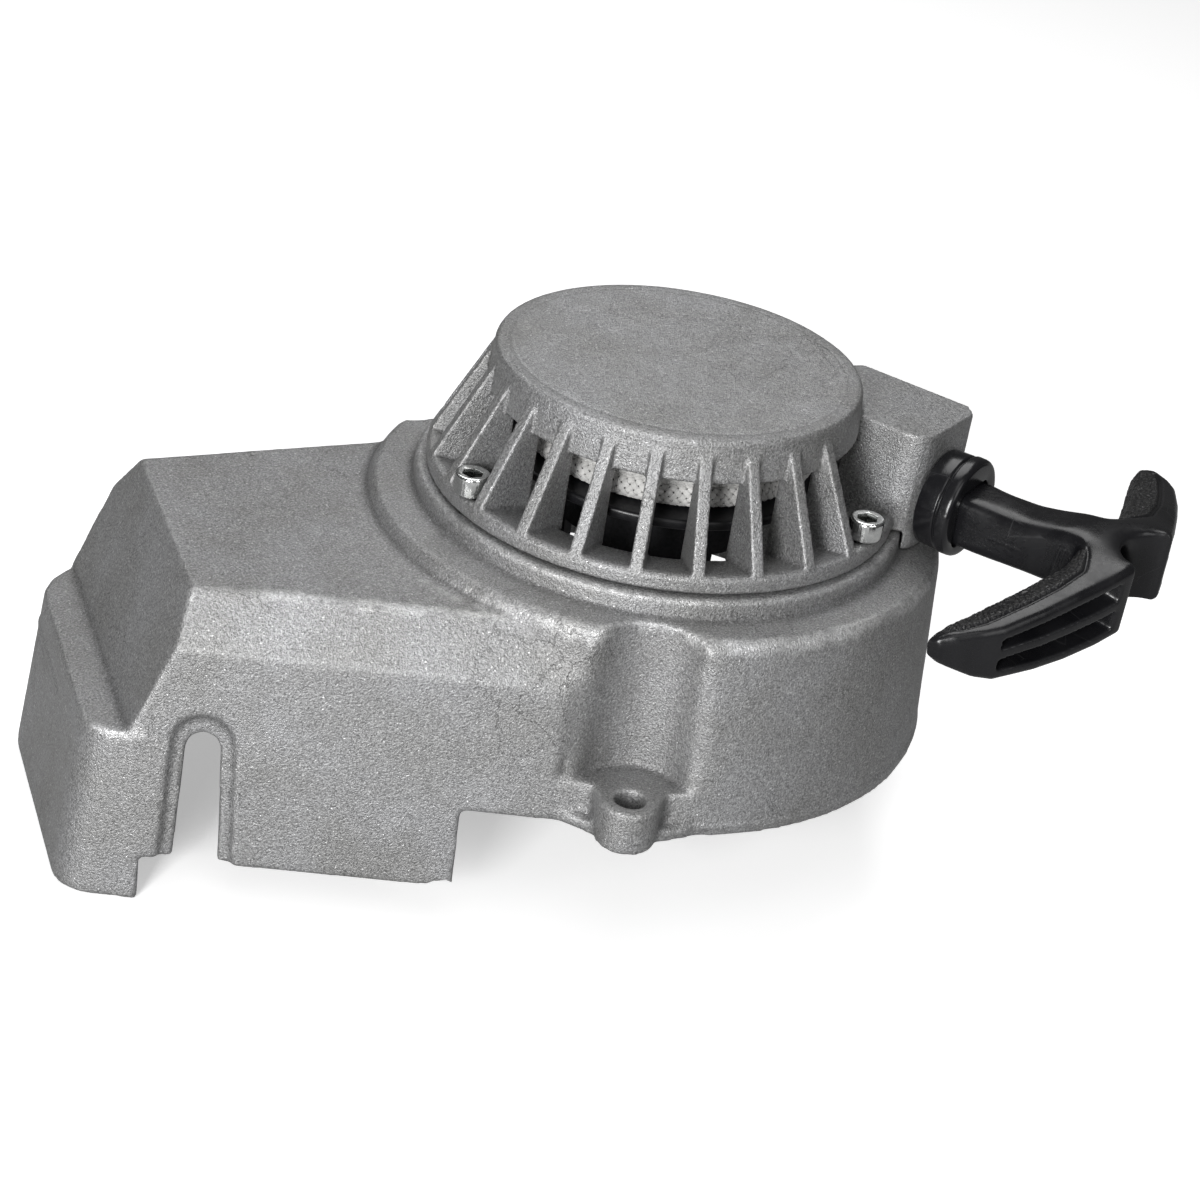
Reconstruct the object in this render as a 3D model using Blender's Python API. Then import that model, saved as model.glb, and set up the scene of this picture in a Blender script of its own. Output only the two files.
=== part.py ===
"""Recoil starter of a small two-stroke engine, with its fan cover.

Frame: metres, +Z up. The origin is on the crank axis at the rim of the fan cover's
drum, +Z points away from the engine, and the air duct of the cover runs along -X.
"""

import math

import bmesh
import bpy
from mathutils import Matrix, Vector

MM = 0.001

# --- driving dimensions, in millimetres -------------------------------------
DRUM_R = 60.8  # drum radius at its rim
DRUM_DRAFT = 0.073  # radius lost for each millimetre of height
PLATFORM_Z = 40.5  # top face of the drum
WALL = 2.8  # casting wall
SEAT_R, SEAT_Z, OPENING_R = 49.2, 44.6, 38.0
DUCT_TOP_Z, CHAMFER_Z, LEDGE_Z = 37.5, 28.0, 9.5
SKIRT_Z, TOE_Z = -17.2, -26.6
DUCT_NORMAL = math.radians(252.2)  # outward normal of the front duct wall
FRONT_DIST, WALL_DRAFT = 58.0, 0.05
NOTCH_X, TOE_X = -50.2, -106.6
SLOT_X = -96.4
LUG_ANGLES = (-110.7, 9.3, 129.3)
LUG_R, LUG_Z, LUG_BOSS_R, LUG_HOLE_R = 62.8, 9.1, 5.9, 2.95
SCALLOP_R = 11.3

CAP_R, CAP_Z, CAP_WALL, BAND_Z = 36.4, 71.2, 2.5, 62.5
FLANGE_R, FLANGE_BOTTOM, FLANGE_TOP = 47.2, 44.9, 48.2
RIB_COUNT, RIB_FIRST, RIB_WIDTH = 25, -102.4, 2.5
SCREW_R, SCREW_ANGLES = 44.4, (-167.2, -48.6, 77.6)
POST_R, POST_BOTTOM = 6.0, 44.7

ROPE_D, ROPE_PITCH_R, ROPE_Z = 4.2, 27.5, 54.3
PULL_ANGLE = math.radians(-54.5)
GUIDE_Z = 51.0
BLOCK_FACE = 47.3
GROOVE = (51.9, 60.2)
PULLEY_R, PULLEY_FLOOR_R = 32.5, 16.4
CUP_R, CUP_TOP, CUP_BOTTOM = 21.2, 46.7, 27.0
SPRING_TURNS = 5
HANDLE_ROLL = math.radians(3.0)  # the handle hangs on its rope a little turned

PULL = Vector((math.cos(PULL_ANGLE), math.sin(PULL_ANGLE), 0.0))
ACROSS = Vector((-PULL.y, PULL.x, 0.0))
TANGENT = ACROSS * ROPE_PITCH_R  # where the rope leaves the pulley
GUIDE_AXIS = Vector((TANGENT.x, TANGENT.y, GUIDE_Z))


def clear_scene():
    for obj in list(bpy.data.objects):
        bpy.data.objects.remove(obj, do_unlink=True)
    for mesh in list(bpy.data.meshes):
        bpy.data.meshes.remove(mesh)


def material(name, colour, roughness, metallic):
    made = bpy.data.materials.new(name)
    made.use_nodes = True
    shader = made.node_tree.nodes["Principled BSDF"]
    shader.inputs["Base Color"].default_value = (*colour, 1.0)
    shader.inputs["Roughness"].default_value = roughness
    shader.inputs["Metallic"].default_value = metallic
    made.diffuse_color = (*colour, 1.0)
    return made


def finish(name, bm, mat=None, parent=None, smooth=30.0, helper=False):
    """Turns a bmesh in millimetres into an object whose origin is its parent's."""
    bmesh.ops.remove_doubles(bm, verts=bm.verts, dist=1e-4)
    bmesh.ops.recalc_face_normals(bm, faces=bm.faces)
    offset = parent.location / MM if parent else Vector()
    bmesh.ops.translate(bm, verts=bm.verts, vec=-offset)
    bmesh.ops.scale(bm, verts=bm.verts, vec=(MM, MM, MM))
    mesh = bpy.data.meshes.new(name)
    bm.to_mesh(mesh)
    bm.free()
    obj = bpy.data.objects.new(name, mesh)
    bpy.context.scene.collection.objects.link(obj)
    if parent:
        obj.parent = parent
    if mat:
        mesh.materials.append(mat)
    mesh.shade_smooth()
    mesh.set_sharp_from_angle(angle=math.radians(smooth))
    if helper:
        obj.hide_render = True
        obj.display_type = "WIRE"
    return obj


def boolean(target, other, operation="DIFFERENCE"):
    modifier = target.modifiers.new(other.name, "BOOLEAN")
    modifier.operation = operation
    modifier.solver = "EXACT"
    modifier.object = other
    other.hide_render = True
    other.display_type = "WIRE"


def loft(bm, rings):
    """Joins closed rings of equal length and caps both ends."""
    made = [[bm.verts.new(point) for point in ring] for ring in rings]
    count = len(made[0])
    for low, high in zip(made, made[1:]):
        for i in range(count):
            j = (i + 1) % count
            bm.faces.new((low[i], low[j], high[j], high[i]))
    bm.faces.new(list(reversed(made[0])))
    bm.faces.new(made[-1])
    return bm


def turned(profile, segments=64, centre=(0.0, 0.0), bm=None):
    """Revolves a closed (r, z) profile about a vertical axis."""
    bm = bm or bmesh.new()
    rings = []
    for radius, height in profile:
        if radius < 1e-6:
            rings.append([bm.verts.new((centre[0], centre[1], height))])
            continue
        rings.append(
            [
                bm.verts.new(
                    (
                        centre[0] + radius * math.cos(2 * math.pi * i / segments),
                        centre[1] + radius * math.sin(2 * math.pi * i / segments),
                        height,
                    )
                )
                for i in range(segments)
            ]
        )
    count = len(rings)
    for k in range(count):
        low, high = rings[k], rings[(k + 1) % count]
        if len(low) == 1 and len(high) == 1:
            continue
        for i in range(segments):
            j = (i + 1) % segments
            if len(low) == 1:
                bm.faces.new((low[0], high[j], high[i]))
            elif len(high) == 1:
                bm.faces.new((low[i], low[j], high[0]))
            else:
                bm.faces.new((low[i], low[j], high[j], high[i]))
    return bm


def along_pull(bm, origin=GUIDE_AXIS):
    """Turns a shape built about +Z so that its Z runs along the pull direction."""
    frame = Matrix((ACROSS, Vector((0, 0, -1)), PULL)).transposed()
    bmesh.ops.transform(bm, matrix=Matrix.Translation(origin) @ frame.to_4x4(), verts=bm.verts)
    return bm


def prism(points, low, high, bm=None):
    return loft(bm or bmesh.new(), [[(x, y, low) for x, y in points], [(x, y, high) for x, y in points]])


def polar(radius, degrees, height=0.0):
    angle = math.radians(degrees)
    return Vector((radius * math.cos(angle), radius * math.sin(angle), height))


def circle(centre, radius, count, start=0.0):
    return [
        (centre[0] + radius * math.cos(start + 2 * math.pi * i / count), centre[1] + radius * math.sin(start + 2 * math.pi * i / count))
        for i in range(count)
    ]


def offset_ring(points, distance):
    """Moves each edge of a counter-clockwise ring inwards by the distance."""
    out = []
    count = len(points)
    for i in range(count):
        a, b, c = (Vector(points[(i + k) % count]) for k in (-1, 0, 1))
        n1 = Vector((-(b - a).y, (b - a).x)).normalized()
        n2 = Vector((-(c - b).y, (c - b).x)).normalized()
        bisector = (n1 + n2).normalized()
        out.append(tuple(b + bisector * distance / max(bisector.dot(n1), 0.3)))
    return out


def swept_tube(bm, path, radius, sides=10):
    """A closed tube along a path of points, with flat caps."""
    points = [Vector(p) for p in path]
    rings = []
    normal = None
    for i, point in enumerate(points):
        before, after = points[max(i - 1, 0)], points[min(i + 1, len(points) - 1)]
        direction = (after - before).normalized()
        if normal is None:
            normal = direction.orthogonal().normalized()
        normal = (normal - direction * normal.dot(direction)).normalized()
        side = direction.cross(normal)
        rings.append(
            [
                point + (normal * math.cos(2 * math.pi * k / sides) + side * math.sin(2 * math.pi * k / sides)) * radius
                for k in range(sides)
            ]
        )
    return loft(bm, rings)


# --- fan cover ----------------------------------------------------------------
def drum_radius(z):
    return DRUM_R - DRUM_DRAFT * z


def duct_ring(z, inset=0.0):
    """Counter-clockwise outline of the duct body at a height, ending inside the drum."""
    normal = Vector((math.cos(DUCT_NORMAL), math.sin(DUCT_NORMAL)))
    if z <= CHAMFER_Z:
        front = FRONT_DIST + WALL_DRAFT * (CHAMFER_Z - z)
        back = 36.2 + WALL_DRAFT * (CHAMFER_Z - z)
        left = -102.4 - (CHAMFER_Z - max(z, LEDGE_Z)) * 0.4
    else:
        rise = (z - CHAMFER_Z) / (DUCT_TOP_Z - CHAMFER_Z)
        front = FRONT_DIST - 6.9 * rise
        back = 36.2 - 7.3 * rise
        left = -102.4 + 3.6 * rise

    def front_y(x):
        return (front - x * normal.x) / normal.y

    def back_y(x):
        return back + (x - left) * 0.093

    points = [
        (left, front_y(left)),
        (-62.0, front_y(-62.0)),
        (-19.5, front_y(-19.5)),
        (-8.0, -30.0),
        (-8.0, 30.0),
        (-44.0, back_y(-44.0)),
        (-75.0, back_y(-75.0)),
        (left, back_y(left)),
    ]
    return offset_ring(points, inset) if inset else points


def toe_ring(z, inset=0.0):
    """Outline of the block at the duct's end, with large corner radii."""
    normal = Vector((math.cos(DUCT_NORMAL), math.sin(DUCT_NORMAL)))
    front = FRONT_DIST + WALL_DRAFT * (CHAMFER_Z - z)

    def front_y(x):
        return (front - x * normal.x) / normal.y

    left = -117.2 - 0.115 * (LEDGE_Z - z)
    back = 36.6 + WALL_DRAFT * (CHAMFER_Z - z)
    radius_f, radius_b = 9.0, 14.0
    points = [(-95.0, front_y(-95.0))]
    corner = Vector((left + radius_f, front_y(left + radius_f * 0.8) + radius_f * 1.02))
    for k in range(6):
        angle = math.radians(252.2 - (72.2 * k / 5))
        points.append((corner.x + radius_f * math.cos(angle), corner.y + radius_f * math.sin(angle)))
    corner = Vector((left + radius_b, back - radius_b))
    for k in range(6):
        angle = math.radians(180.0 - 90.0 * k / 5)
        points.append((corner.x + radius_b * math.cos(angle), corner.y + radius_b * math.sin(angle)))
    points.append((-95.0, back + 0.3))
    points = [points[0]] + list(reversed(points[1:]))
    return offset_ring(points, inset) if inset else points


def scallop_ring(angle, z):
    """Outline cut from the drum above a lug, with rounded edges where it meets the wall."""
    wall, fillet = drum_radius(min(z, 38.0)), 3.6
    near, far = SCALLOP_R + fillet, wall - fillet
    along = (far**2 - near**2 + LUG_R**2) / (2 * LUG_R)
    across = math.sqrt(far**2 - along**2)
    centre = math.atan2(across, along - LUG_R)
    points = []
    for k in range(5):
        turn = math.atan2(across, along) + (centre - math.pi - math.atan2(across, along)) * (1 - k / 4)
        points.append((along + fillet * math.cos(turn), across + fillet * math.sin(turn)))
    points = points[::-1]
    reach = [(wall + 14.0, across + 6.0)]
    arc = [(LUG_R + SCALLOP_R * math.cos(math.pi + (math.pi - centre) * (k / 6 - 1) * -1.0), SCALLOP_R * math.sin(math.pi + (math.pi - centre) * (k / 6 - 1) * -1.0)) for k in range(13)]
    ring = reach + points[:-1] + [(x, -y) for x, y in arc] + [(x, -y) for x, y in reversed(points[:-1])] + [(x, -y) for x, y in reversed(reach)]
    turn = math.radians(angle)
    return [(x * math.cos(turn) - y * math.sin(turn), x * math.sin(turn) + y * math.cos(turn), z) for x, y in ring]


def build_fan_cover(mat):
    # The drum: rim, drafted wall, rounded shoulder and raised seat.
    outer = turned(
        [
            (0.0, 0.0),
            (DRUM_R, 0.0),
            (drum_radius(37.6), 37.6),
            (drum_radius(37.6) - 0.45, 39.4),
            (drum_radius(37.6) - 1.7, PLATFORM_Z),
            (SEAT_R + 0.5, PLATFORM_Z),
            (SEAT_R, PLATFORM_Z + 0.5),
            (SEAT_R, SEAT_Z - 0.5),
            (SEAT_R - 0.5, SEAT_Z),
            (0.0, SEAT_Z),
        ],
        90,
    )
    cover = finish("fan_cover", outer, mat)

    heights = (TOE_Z - 4.0, LEDGE_Z, CHAMFER_Z, DUCT_TOP_Z)
    duct = loft(bmesh.new(), [[(x, y, z) for x, y in duct_ring(z)] for z in heights])
    duct = finish("duct_body", duct, helper=True)
    toe = loft(bmesh.new(), [[(x, y, z) for x, y in toe_ring(z)] for z in (TOE_Z - 3.0, LEDGE_Z)])
    toe = finish("duct_toe", toe, helper=True)
    boolean(duct, toe, "UNION")
    boolean(cover, duct, "UNION")

    # What is trimmed off below the rim line of each stretch.
    trim = prism([(NOTCH_X, -90), (90, -90), (90, 90), (NOTCH_X, 90)], -60, 0.0)
    trim = finish("rim_trim", trim, helper=True)
    boolean(cover, trim)
    trim = prism([(TOE_X, -90), (NOTCH_X + 20, -90), (NOTCH_X + 20, 90), (TOE_X, 90)], -60, SKIRT_Z)
    trim = finish("skirt_trim", trim, helper=True)
    boolean(cover, trim)
    trim = prism([(-160, -90), (TOE_X + 20, -90), (TOE_X + 20, 90), (-160, 90)], -60, TOE_Z)
    trim = finish("toe_trim", trim, helper=True)
    boolean(cover, trim)

    # Mounting lugs, standing on the rim.
    for index, angle in enumerate(LUG_ANGLES, 1):
        out, side = polar(1, angle), polar(1, angle + 90)
        boss = out * LUG_R
        outline = []
        for k in range(9):
            turn = math.radians(-90 + 180 * k / 8)
            outline.append(boss + out * (LUG_BOSS_R * math.cos(turn)) + side * (LUG_BOSS_R * math.sin(turn)))
        outline += [out * 57.4 + side * 7.6, out * 50.8 + side * 7.6, out * 50.8 - side * 7.6, out * 57.4 - side * 7.6]
        lug = prism([(p.x, p.y) for p in outline], 0.0, LUG_Z)
        lug = finish(f"lug_{index}", lug, helper=True)
        boolean(cover, lug, "UNION")
        wing = [out * 56.0 - side * 13.5, out * 60.4 - side * 12.0, out * 64.0 - side * 4.5, out * 64.0 + side * 4.5, out * 60.4 + side * 12.0, out * 56.0 + side * 13.5]
        wing = prism([(p.x, p.y) for p in wing], 0.0, 2.6)
        wing = finish(f"lug_wing_{index}", wing, helper=True)
        boolean(cover, wing, "UNION")

    # The hollow, one wall inside the outer shape, less the pockets round the screw scallops.
    cavity = turned(
        [
            (0.0, -40.0),
            (drum_radius(-3.0) - WALL, -40.0),
            (drum_radius(-3.0) - WALL, -3.0),
            (drum_radius(35.5) - WALL, 35.5),
            (drum_radius(35.5) - WALL - 2.0, PLATFORM_Z - WALL),
            (0.0, PLATFORM_Z - WALL),
        ],
        90,
    )
    cavity = finish("drum_cavity", cavity, helper=True)
    slope = (CHAMFER_Z - 1.2, DUCT_TOP_Z - WALL)
    duct_void = loft(
        bmesh.new(),
        [[(x, y, TOE_Z - 20.0) for x, y in duct_ring(TOE_Z - 4.0, WALL)]]
        + [[(x, y, z) for x, y in duct_ring(z, WALL)] for z in (LEDGE_Z - 1.0, *slope)],
    )
    duct_void = finish("duct_cavity", duct_void, helper=True)
    toe_void = loft(
        bmesh.new(),
        [[(x, y, TOE_Z - 20.0) for x, y in toe_ring(TOE_Z - 3.0, WALL)]]
        + [[(x, y, LEDGE_Z - WALL) for x, y in toe_ring(LEDGE_Z - WALL, WALL)]],
    )
    toe_void = finish("toe_cavity", toe_void, helper=True)
    for index, angle in enumerate(LUG_ANGLES, 1):
        centre = polar(LUG_R, angle)
        pocket = prism(circle(centre, SCALLOP_R + WALL, 28), -60.0, 60.0)
        pocket = finish(f"pocket_{index}", pocket, helper=True)
        boolean(cavity, pocket)
        pocket = prism(circle(centre, SCALLOP_R + 3.6 + WALL, 28), -60.0, 60.0)
        pocket = finish(f"duct_pocket_{index}", pocket, helper=True)
        boolean(duct_void, pocket)
    boolean(cover, cavity)
    boolean(cover, duct_void)
    boolean(cover, toe_void)

    for index, angle in enumerate(LUG_ANGLES, 1):
        centre = polar(LUG_R, angle)
        scallop = loft(bmesh.new(), [scallop_ring(angle, z) for z in (LUG_Z, 24.0, PLATFORM_Z + 1.5)])
        scallop = finish(f"scallop_{index}", scallop, helper=True)
        boolean(cover, scallop)
        hole = prism(circle(centre, LUG_HOLE_R, 24), -5.0, 20.0)
        hole = finish(f"lug_hole_{index}", hole, helper=True)
        boolean(cover, hole)

    # Opening in the drum's top, and a thread hole for each housing screw.
    opening = prism(circle((0, 0), OPENING_R, 72), 20.0, 60.0)
    opening = finish("drum_opening", opening, helper=True)
    boolean(cover, opening)
    for index, angle in enumerate(SCREW_ANGLES, 1):
        hole = prism(circle(polar(SCREW_R, angle), 1.85, 16), 34.0, 60.0)
        hole = finish(f"thread_hole_{index}", hole, helper=True)
        boolean(cover, hole)

    # Open slot in the front wall: a wide shallow recess, and a narrow slot through it.
    normal = Vector((math.cos(DUCT_NORMAL), math.sin(DUCT_NORMAL), 0.0))
    along = Vector((-normal.y, normal.x, 0.0))
    base = normal * FRONT_DIST + along * ((SLOT_X - normal.x * FRONT_DIST) / along.x)

    def slot(name, low_half, high_half, arch, inner, outer):
        outline = [(-low_half, -50.0), (low_half, -50.0), (high_half, arch - high_half)]
        for k in range(1, 8):
            turn = math.pi * k / 8
            outline.append((high_half * math.cos(turn), arch - high_half + high_half * math.sin(turn)))
        outline.append((-high_half, arch - high_half))
        rings = []
        for depth in (inner, outer):
            rings.append([base + along * u + normal * (depth + WALL_DRAFT * (CHAMFER_Z - z)) + Vector((0, 0, z)) for u, z in outline])
        return finish(name, loft(bmesh.new(), rings), helper=True)

    boolean(cover, slot("slot_recess", 8.3, 5.9, 14.6, -1.3, 12.0))
    boolean(cover, slot("slot_through", 5.6, 3.2, 10.2, -12.0, 12.0))
    return cover


# --- starter housing -------------------------------------------------------------
def rib_angles():
    """Rib positions round the cap, leaving out those that the rope outlet covers."""
    angles = []
    for k in range(RIB_COUNT):
        angle = (RIB_FIRST + 360.0 / RIB_COUNT * k + 180.0) % 360.0 - 180.0
        if not -46.0 < angle < 20.0:
            angles.append(angle)
    return angles


def build_housing(mat):
    cap = turned(
        [
            (0.0, CAP_Z - CAP_WALL),
            (CAP_R - CAP_WALL, CAP_Z - CAP_WALL),
            (CAP_R + 0.5 - CAP_WALL, BAND_Z),
            (CAP_R + 0.5, BAND_Z),
            (CAP_R, CAP_Z - 0.9),
            (CAP_R - 0.3, CAP_Z - 0.25),
            (CAP_R - 0.9, CAP_Z),
            (0.0, CAP_Z),
        ],
        72,
    )
    housing = finish("starter_housing", cap, mat)
    flange = turned(
        [
            (36.4, FLANGE_BOTTOM),
            (FLANGE_R, FLANGE_BOTTOM),
            (FLANGE_R, FLANGE_TOP - 0.6),
            (FLANGE_R - 0.6, FLANGE_TOP),
            (FLANGE_R - 1.6, FLANGE_TOP),
            (36.4, FLANGE_TOP - 2.0),
        ],
        72,
    )
    flange = finish("flange", flange, helper=True)
    boolean(housing, flange, "UNION")

    ribs = bmesh.new()
    for angle in rib_angles():
        out, side = polar(1, angle), polar(1, angle + 90)
        section = [(34.7, FLANGE_BOTTOM + 0.4), (46.7, FLANGE_BOTTOM + 0.4), (46.7, FLANGE_TOP + 0.3), (35.9, 69.7), (34.7, 69.7)]
        rings = []
        for half in (-RIB_WIDTH / 2, RIB_WIDTH / 2):
            rings.append([out * r + side * half + Vector((0, 0, z)) for r, z in section])
        loft(ribs, rings)
    ribs = finish("ribs", ribs, helper=True)
    boolean(housing, ribs, "UNION")

    # Rope outlet block: its outer face is square to the pull.
    def corner(s, q):
        point = TANGENT + PULL * s + ACROSS * q
        return point.x, point.y

    outline = [corner(22.0, -10.2), corner(42.5, -10.2)]
    for k in range(1, 4):
        turn = math.radians(-90 + 90 * k / 4)
        outline.append(corner(42.5 + 4.8 * math.cos(turn), -5.4 + 4.8 * math.sin(turn)))
    outline += [corner(BLOCK_FACE, -5.4), corner(BLOCK_FACE, 9.5), corner(BLOCK_FACE - 2.5, 12.0), corner(20.5, 12.0), corner(17.0, 8.0), corner(17.0, -6.0)]
    block = finish("outlet_block", prism(outline, 41.0, 66.0), helper=True)
    relief = finish("seat_relief", prism(circle((0, 0), SEAT_R + 0.4, 72), 30.0, FLANGE_BOTTOM), helper=True)
    boolean(block, relief)
    void = finish("pulley_space", prism(circle((0, 0), 34.4, 72), 30.0, CAP_Z), helper=True)
    boolean(block, void)
    boolean(housing, block, "UNION")

    # Spring chamber wall and centre post under the cap.
    chamber = turned([(29.2, BAND_Z + 0.2), (31.0, BAND_Z + 0.2), (31.0, CAP_Z - 1.5), (29.2, CAP_Z - 1.5)], 36)
    chamber = finish("spring_chamber", chamber, helper=True)
    boolean(housing, chamber, "UNION")
    post = turned([(0.0, POST_BOTTOM), (POST_R - 0.5, POST_BOTTOM), (POST_R, POST_BOTTOM + 0.5), (POST_R, CAP_Z - 1.2), (0.0, CAP_Z - 1.2)], 32)
    post = finish("centre_post", post, helper=True)
    boolean(housing, post, "UNION")

    thread = finish("post_thread", prism(circle((0, 0), 2.7, 20), 30.0, 60.0), helper=True)
    boolean(housing, thread)
    bore = along_pull(turned([(0.0, 5.0), (5.9, 5.0), (5.9, 34.0), (4.9, 36.0), (4.9, 60.0), (0.0, 60.0)], 24))
    bore = finish("outlet_bore", bore, helper=True)
    boolean(housing, bore)
    for index, angle in enumerate(SCREW_ANGLES, 1):
        place = polar(SCREW_R, angle)
        hole = turned([(0.0, 30.0), (2.1, 30.0), (2.1, 48.25), (3.85, 48.25), (3.85, 57.0), (0.0, 57.0)], 20, (place.x, place.y))
        hole = finish(f"screw_seat_{index}", hole, helper=True)
        boolean(housing, hole)
    return housing


def socket_screw(name, place, head_r, head_z, head_top, shank_r, shank_end, socket_r, mat, parent=None, segments=12):
    """A cap screw on a vertical axis: head, hexagon socket and plain shank."""
    bm = turned(
        [
            (0.0, shank_end),
            (shank_r - 0.3, shank_end),
            (shank_r, shank_end + (0.4 if head_z > shank_end else -0.4)),
            (shank_r, head_z),
            (head_r, head_z),
            (head_r, head_top + (-0.35 if head_top > head_z else 0.35)),
            (head_r - 0.35, head_top),
            (0.0, head_top),
        ],
        segments,
        (place[0], place[1]),
    )
    screw = finish(name, bm, mat, parent)
    depth = 2.0 if head_top > head_z else -2.0
    low, high = sorted((head_top - depth, head_top + depth))
    socket = finish(f"{name}_socket", prism(circle(place, socket_r, 6), low, high), parent=parent, helper=True)
    boolean(screw, socket)
    return screw


# --- pulley, spring and rope -------------------------------------------------------
def build_pulley(mat, parent):
    pulley = turned(
        [
            (7.25, 47.0),
            (CUP_R - 0.2, 47.0),
            (CUP_R - 0.2, 49.4),
            (PULLEY_R - 0.4, 49.4),
            (PULLEY_R, 49.8),
            (PULLEY_R, GROOVE[0] - 0.3),
            (PULLEY_R - 0.3, GROOVE[0]),
            (PULLEY_FLOOR_R, GROOVE[0]),
            (PULLEY_FLOOR_R, GROOVE[1]),
            (PULLEY_R - 0.3, GROOVE[1]),
            (PULLEY_R, GROOVE[1] + 0.3),
            (PULLEY_R, GROOVE[1] + 1.4),
            (7.25, GROOVE[1] + 1.4),
        ],
        48,
    )
    pulley = finish("pulley", pulley, mat, parent)
    knot = polar(11.9, 20.0)
    pocket = finish("knot_pocket", prism(circle(knot, 3.4, 16), 30.0, 55.2), parent=parent, helper=True)
    boolean(pulley, pocket)
    for index in range(3):
        place = polar(13.6, 80.0 + 120.0 * index)
        hole = finish(f"cup_thread_{index}", prism(circle(place, 1.75, 12), 30.0, 50.6), parent=parent, helper=True)
        boolean(pulley, hole)
    return pulley


def build_cup(mat, parent):
    cup = turned([(8.0, CUP_TOP - 2.0), (8.0, CUP_TOP), (CUP_R - 0.8, CUP_TOP), (CUP_R, CUP_TOP - 0.8), (CUP_R, CUP_BOTTOM), (CUP_R - 2.0, CUP_BOTTOM), (CUP_R - 2.0, CUP_TOP - 2.0)], 40)
    cup = finish("drive_cup", cup, mat, parent)
    windows = bmesh.new()
    for index in range(4):
        out, side = polar(1, 25 + 90.0 * index), polar(1, 115 + 90.0 * index)
        points = [out * 16.5 - side * 5.0, out * 24.0 - side * 5.0, out * 24.0 + side * 5.0, out * 16.5 + side * 5.0]
        prism([(p.x, p.y) for p in points], 30.5, 38.5, windows)
    windows = finish("cup_windows", windows, parent=parent, helper=True)
    boolean(cup, windows)
    for index in range(3):
        place = polar(13.6, 80.0 + 120.0 * index)
        hole = finish(f"cup_hole_{index}", prism(circle(place, 1.85, 12), 30.0, 50.6), parent=parent, helper=True)
        boolean(cup, hole)
    return cup


def build_spring(mat):
    """The recoil spring: a flat strip wound in a spiral, between the post and the chamber wall."""
    bm = bmesh.new()
    steps = 24 * SPRING_TURNS
    inner, outer, thick = 9.6, 28.3, 0.55
    rings = []
    for k in range(steps + 1):
        share = k / steps
        angle = 2 * math.pi * SPRING_TURNS * share
        radius = inner + (outer - inner) * share
        out = Vector((math.cos(angle), math.sin(angle), 0.0))
        rings.append([out * radius + Vector((0, 0, 62.9)), out * (radius + thick) + Vector((0, 0, 62.9)), out * (radius + thick) + Vector((0, 0, 68.2)), out * radius + Vector((0, 0, 68.2))])
    loft(bm, rings)
    return finish("recoil_spring", bm, mat)


def rope_run_path():
    """From beside the wound rope, between the pulley's flanges, to the guide."""
    path = []
    for k in range(9):
        s = 16.4 + 19.6 * k / 8
        ease = min(max((s - 17.5) / 17.0, 0.0), 1.0)
        ease = ease * ease * (3 - 2 * ease)
        path.append(Vector((TANGENT.x, TANGENT.y, ROPE_Z + (GUIDE_Z - ROPE_Z) * ease)) + PULL * s)
    return path


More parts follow.
